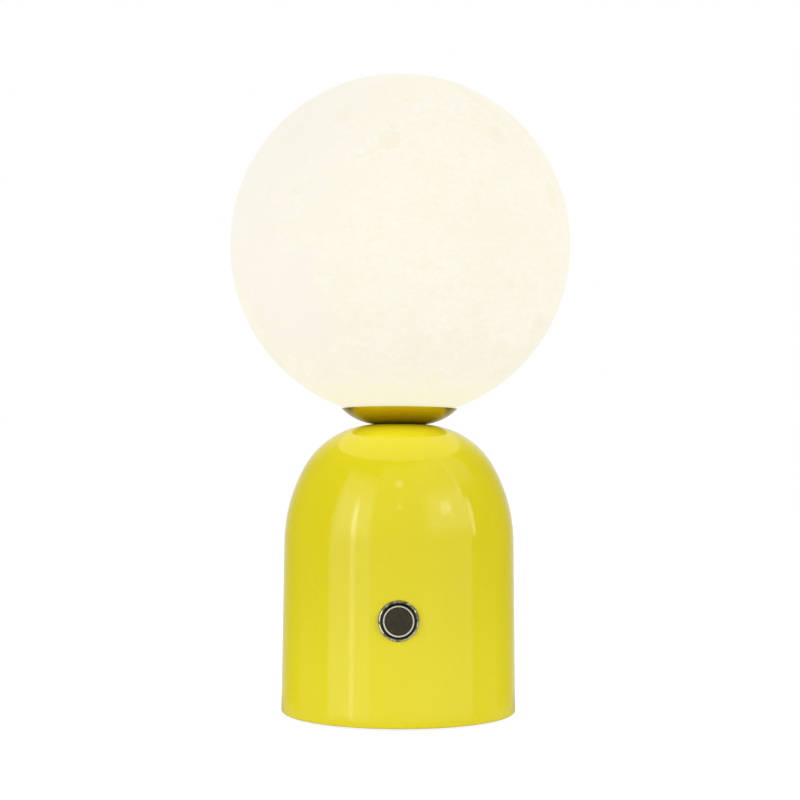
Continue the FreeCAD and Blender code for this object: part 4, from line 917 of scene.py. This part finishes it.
def makeButton():
    b = button
    rounding, top = b["bezelRound"], b["flangeTop"]
    bezel = frontPiece("switchBezel", (b["bore"], b["wellFloor"]), [
        (b["bore"], b["partition"]),
        (b["chamber"], b["partition"]),
        (b["chamber"], b["barrelEnd"]),
        (b["barrel"], b["barrelEnd"]),
        (b["barrel"], b["gasket"]),
        (b["flange"], b["gasket"]),
        (b["flange"], top - rounding),
        (b["flange"] - rounding, top - rounding, -90, b["bezelSteps"]),
        (b["well"] + b["wellEdge"], top),
        (b["well"], top - b["wellEdge"]),
        (b["well"], b["wellFloor"]),
    ])
    finishPiece(bezel, chrome, "base", "bezel_chrome", "switch_body")
    edge = b["ringRound"]
    ring = frontPiece("buttonRim", (b["ringInner"], b["ringFoot"]), [
        (b["head"], b["ringFoot"]),
        (b["head"], b["face"] - edge),
        (b["head"] - edge, b["face"] - edge, -90, b["ringSteps"]),
        (b["ringInner"] + edge / 2, b["face"]),
        (b["ringInner"], b["face"] - edge / 2),
    ])
    finishPiece(ring, makeRimSteel(), "button", "bezel_chrome", "button_ring")
    cap = frontPiece("buttonFace", (0, b["stemFoot"]), [
        (b["nose"], b["stemFoot"]),
        (b["nose"], b["bridgeTop"]),
        (b["stem"], b["bridgeTop"]),
        (b["stem"], b["ringFoot"]),
        (b["capRadius"], b["ringFoot"]),
        (b["capRadius"], b["capFace"] - b["capEdge"]),
        (b["capRadius"] - b["capEdge"], b["capFace"]),
        (0, b["capFace"]),
    ])
    finishPiece(cap, makeButtonFace(), "button", "button_dark", "button_cap")


chrome = makeChrome()
makeButton()
print("push button set in")


# Finishes of the pieces that keep their solids

innerFinish = {
    "plasticShade": 0.88,       # darkest mottling as a share of the colour
    "metalShade": 0.85,
    "plasticSpread": 0.06,      # roughness up and down
    "metalSpread": 0.07,
    "metalGrain": 900,
}


def makePlastic(name, colour, roughness, grain=1200, relief=0.00003):
    material, tree, shader = newMaterial(name)
    point = objectPoint(tree)
    texture = noisePattern(tree, point, grain, 3)
    cloud = noisePattern(tree, point, 45, 3)
    darker = tuple(part * innerFinish["plasticShade"] for part in colour)
    spread = innerFinish["plasticSpread"]
    feed(tree, shader.inputs["Base Color"], mottleColours(tree, cloud, darker, colour))
    feed(tree, shader.inputs["Roughness"], spreadNoise(tree, texture, roughness - spread, roughness + spread))
    feed(tree, shader.inputs["Normal"], bump(tree, texture, 0.35, relief))
    return material


def makeMetal(name, colour, roughness, stretch=(1, 1, 1)):
    material, tree, shader = newMaterial(name, Metallic=1.0)
    brushed = noisePattern(tree, objectPoint(tree, stretch), innerFinish["metalGrain"], 3)
    cloud = noisePattern(tree, objectPoint(tree), 80, 4)
    darker = tuple(part * innerFinish["metalShade"] for part in colour)
    spread = innerFinish["metalSpread"]
    feed(tree, shader.inputs["Base Color"], mottleColours(tree, cloud, darker, colour))
    feed(tree, shader.inputs["Roughness"], spreadNoise(tree, brushed, roughness - spread, roughness + spread))
    feed(tree, shader.inputs["Normal"], bump(tree, brushed, 0.2, 0.00003))
    return material


def makeBoardGreen():
    # solder mask over copper runs and a woven core
    material, tree, shader = newMaterial("boardGreen", Roughness=0.35)
    point = objectPoint(tree)
    runs = addNode(tree, "ShaderNodeTexBrick")
    feed(tree, runs.inputs["Vector"], point)
    for label, number in (("Scale", 60), ("Mortar Size", 0.03), ("Brick Width", 0.5), ("Row Height", 0.12)):
        runs.inputs[label].default_value = number
    runs.inputs["Color1"].default_value = (0.020, 0.150, 0.060, 1)
    runs.inputs["Color2"].default_value = (0.025, 0.170, 0.070, 1)
    runs.inputs["Mortar"].default_value = (0.050, 0.260, 0.110, 1)
    weave = noisePattern(tree, objectPoint(tree, (1, 4, 1)), 1500, 2)
    woven = spreadNoise(tree, weave, 0, 0.25)
    tinted = blendColours(tree, woven, runs.outputs["Color"], (0.01, 0.10, 0.04))
    feed(tree, shader.inputs["Base Color"], tinted)
    feed(tree, shader.inputs["Normal"], bump(tree, runs.outputs["Fac"], 0.3, 0.00004))
    return material


def makePhosphor():
    material, tree, shader = newMaterial("lampPhosphor", Roughness=0.5)
    grain = noisePattern(tree, objectPoint(tree), 2500, 2)
    colour = blendColours(tree, grain, (0.95, 0.78, 0.25), (1.0, 0.88, 0.40))
    feed(tree, shader.inputs["Base Color"], colour)
    feed(tree, shader.inputs["Emission Color"], colour)
    shader.inputs["Emission Strength"].default_value = 0.8
    return material


def makeOpal():
    material, tree, shader = newMaterial("opalCover", Roughness=0.4)
    cloud = noisePattern(tree, objectPoint(tree), 220, 3)
    colour = blendColours(tree, cloud, (0.93, 0.90, 0.82), (0.97, 0.95, 0.89))
    feed(tree, shader.inputs["Base Color"], colour)
    feed(tree, shader.inputs["Emission Color"], (1.0, 0.93, 0.78, 1))
    shader.inputs["Emission Strength"].default_value = 0.5
    return material


def dressNodes():
    finishes = {
        makePlastic("coverPlastic", (0.035, 0.035, 0.036), 0.55, 1600): ("bottom_cover", "switch_base"),
        makePlastic("portPlastic", (0.030, 0.030, 0.031), 0.40, 2200): ("port_frame", "usb_tongue"),
        makePlastic("padRubber", (0.055, 0.055, 0.056), 0.85, 900, 0.00006): ("foot_pad", "switch_gasket"),
        makePlastic("trayPlastic", (0.30, 0.31, 0.33), 0.60): ("chassis_tray", "battery_cap"),
        makePlastic("fitterPlastic", (0.86, 0.85, 0.82), 0.45): (
            "globe_fitter", "globe_bayonet_ring", "wire_connectors",
        ),
        makePlastic("lampBoardWhite", (0.84, 0.84, 0.82), 0.35, 1800): ("led_board",),
        makePlastic("cellWrap", (0.06, 0.24, 0.52), 0.28, 300, 0.00004): (
            "battery_cell_left", "battery_cell_right",
        ),
        makePlastic("chipBlack", (0.03, 0.03, 0.03), 0.45, 2600): ("board_parts",),
        makePlastic("leadJacket", (0.60, 0.05, 0.03), 0.40, 1500): (
            "led_lead", "battery_lead", "switch_leads",
        ),
        makeMetal("zincSteel", (0.66, 0.66, 0.63), 0.38, (1, 1, 6)): (
            "threaded_tube", "crown_washer", "lower_lock_washer", "upper_lock_washer",
            "lower_nut", "upper_nut", "counterweight",
        ),
        makeMetal("screwSteel", (0.60, 0.60, 0.58), 0.30): (
            "cover_screws", "chassis_screws", "board_screws", "battery_cap_screws", "led_board_screws",
        ),
        makeMetal("contactBrass", (0.78, 0.58, 0.24), 0.25): ("contact_bridge", "switch_terminals"),
        makeMetal("nickelStrip", (0.70, 0.69, 0.65), 0.30, (6, 1, 1)): (
            "contact_strip_bottom", "contact_strip_top",
        ),
        makeMetal("springSteel", (0.55, 0.55, 0.55), 0.30): ("switch_spring",),
        makeMetal("socketSteel", (0.68, 0.68, 0.67), 0.24, (1, 5, 1)): ("usb_socket",),
        chrome: ("switch_nut",),
        makeBoardGreen(): ("control_board",),
        makePhosphor(): ("led_chips",),
        makeOpal(): ("led_diffuser",),
    }
    for material, names in finishes.items():
        for name in names:
            for slot in nodes[name].material_slots:
                slot.material = material


dressNodes()
print("inner pieces finished")
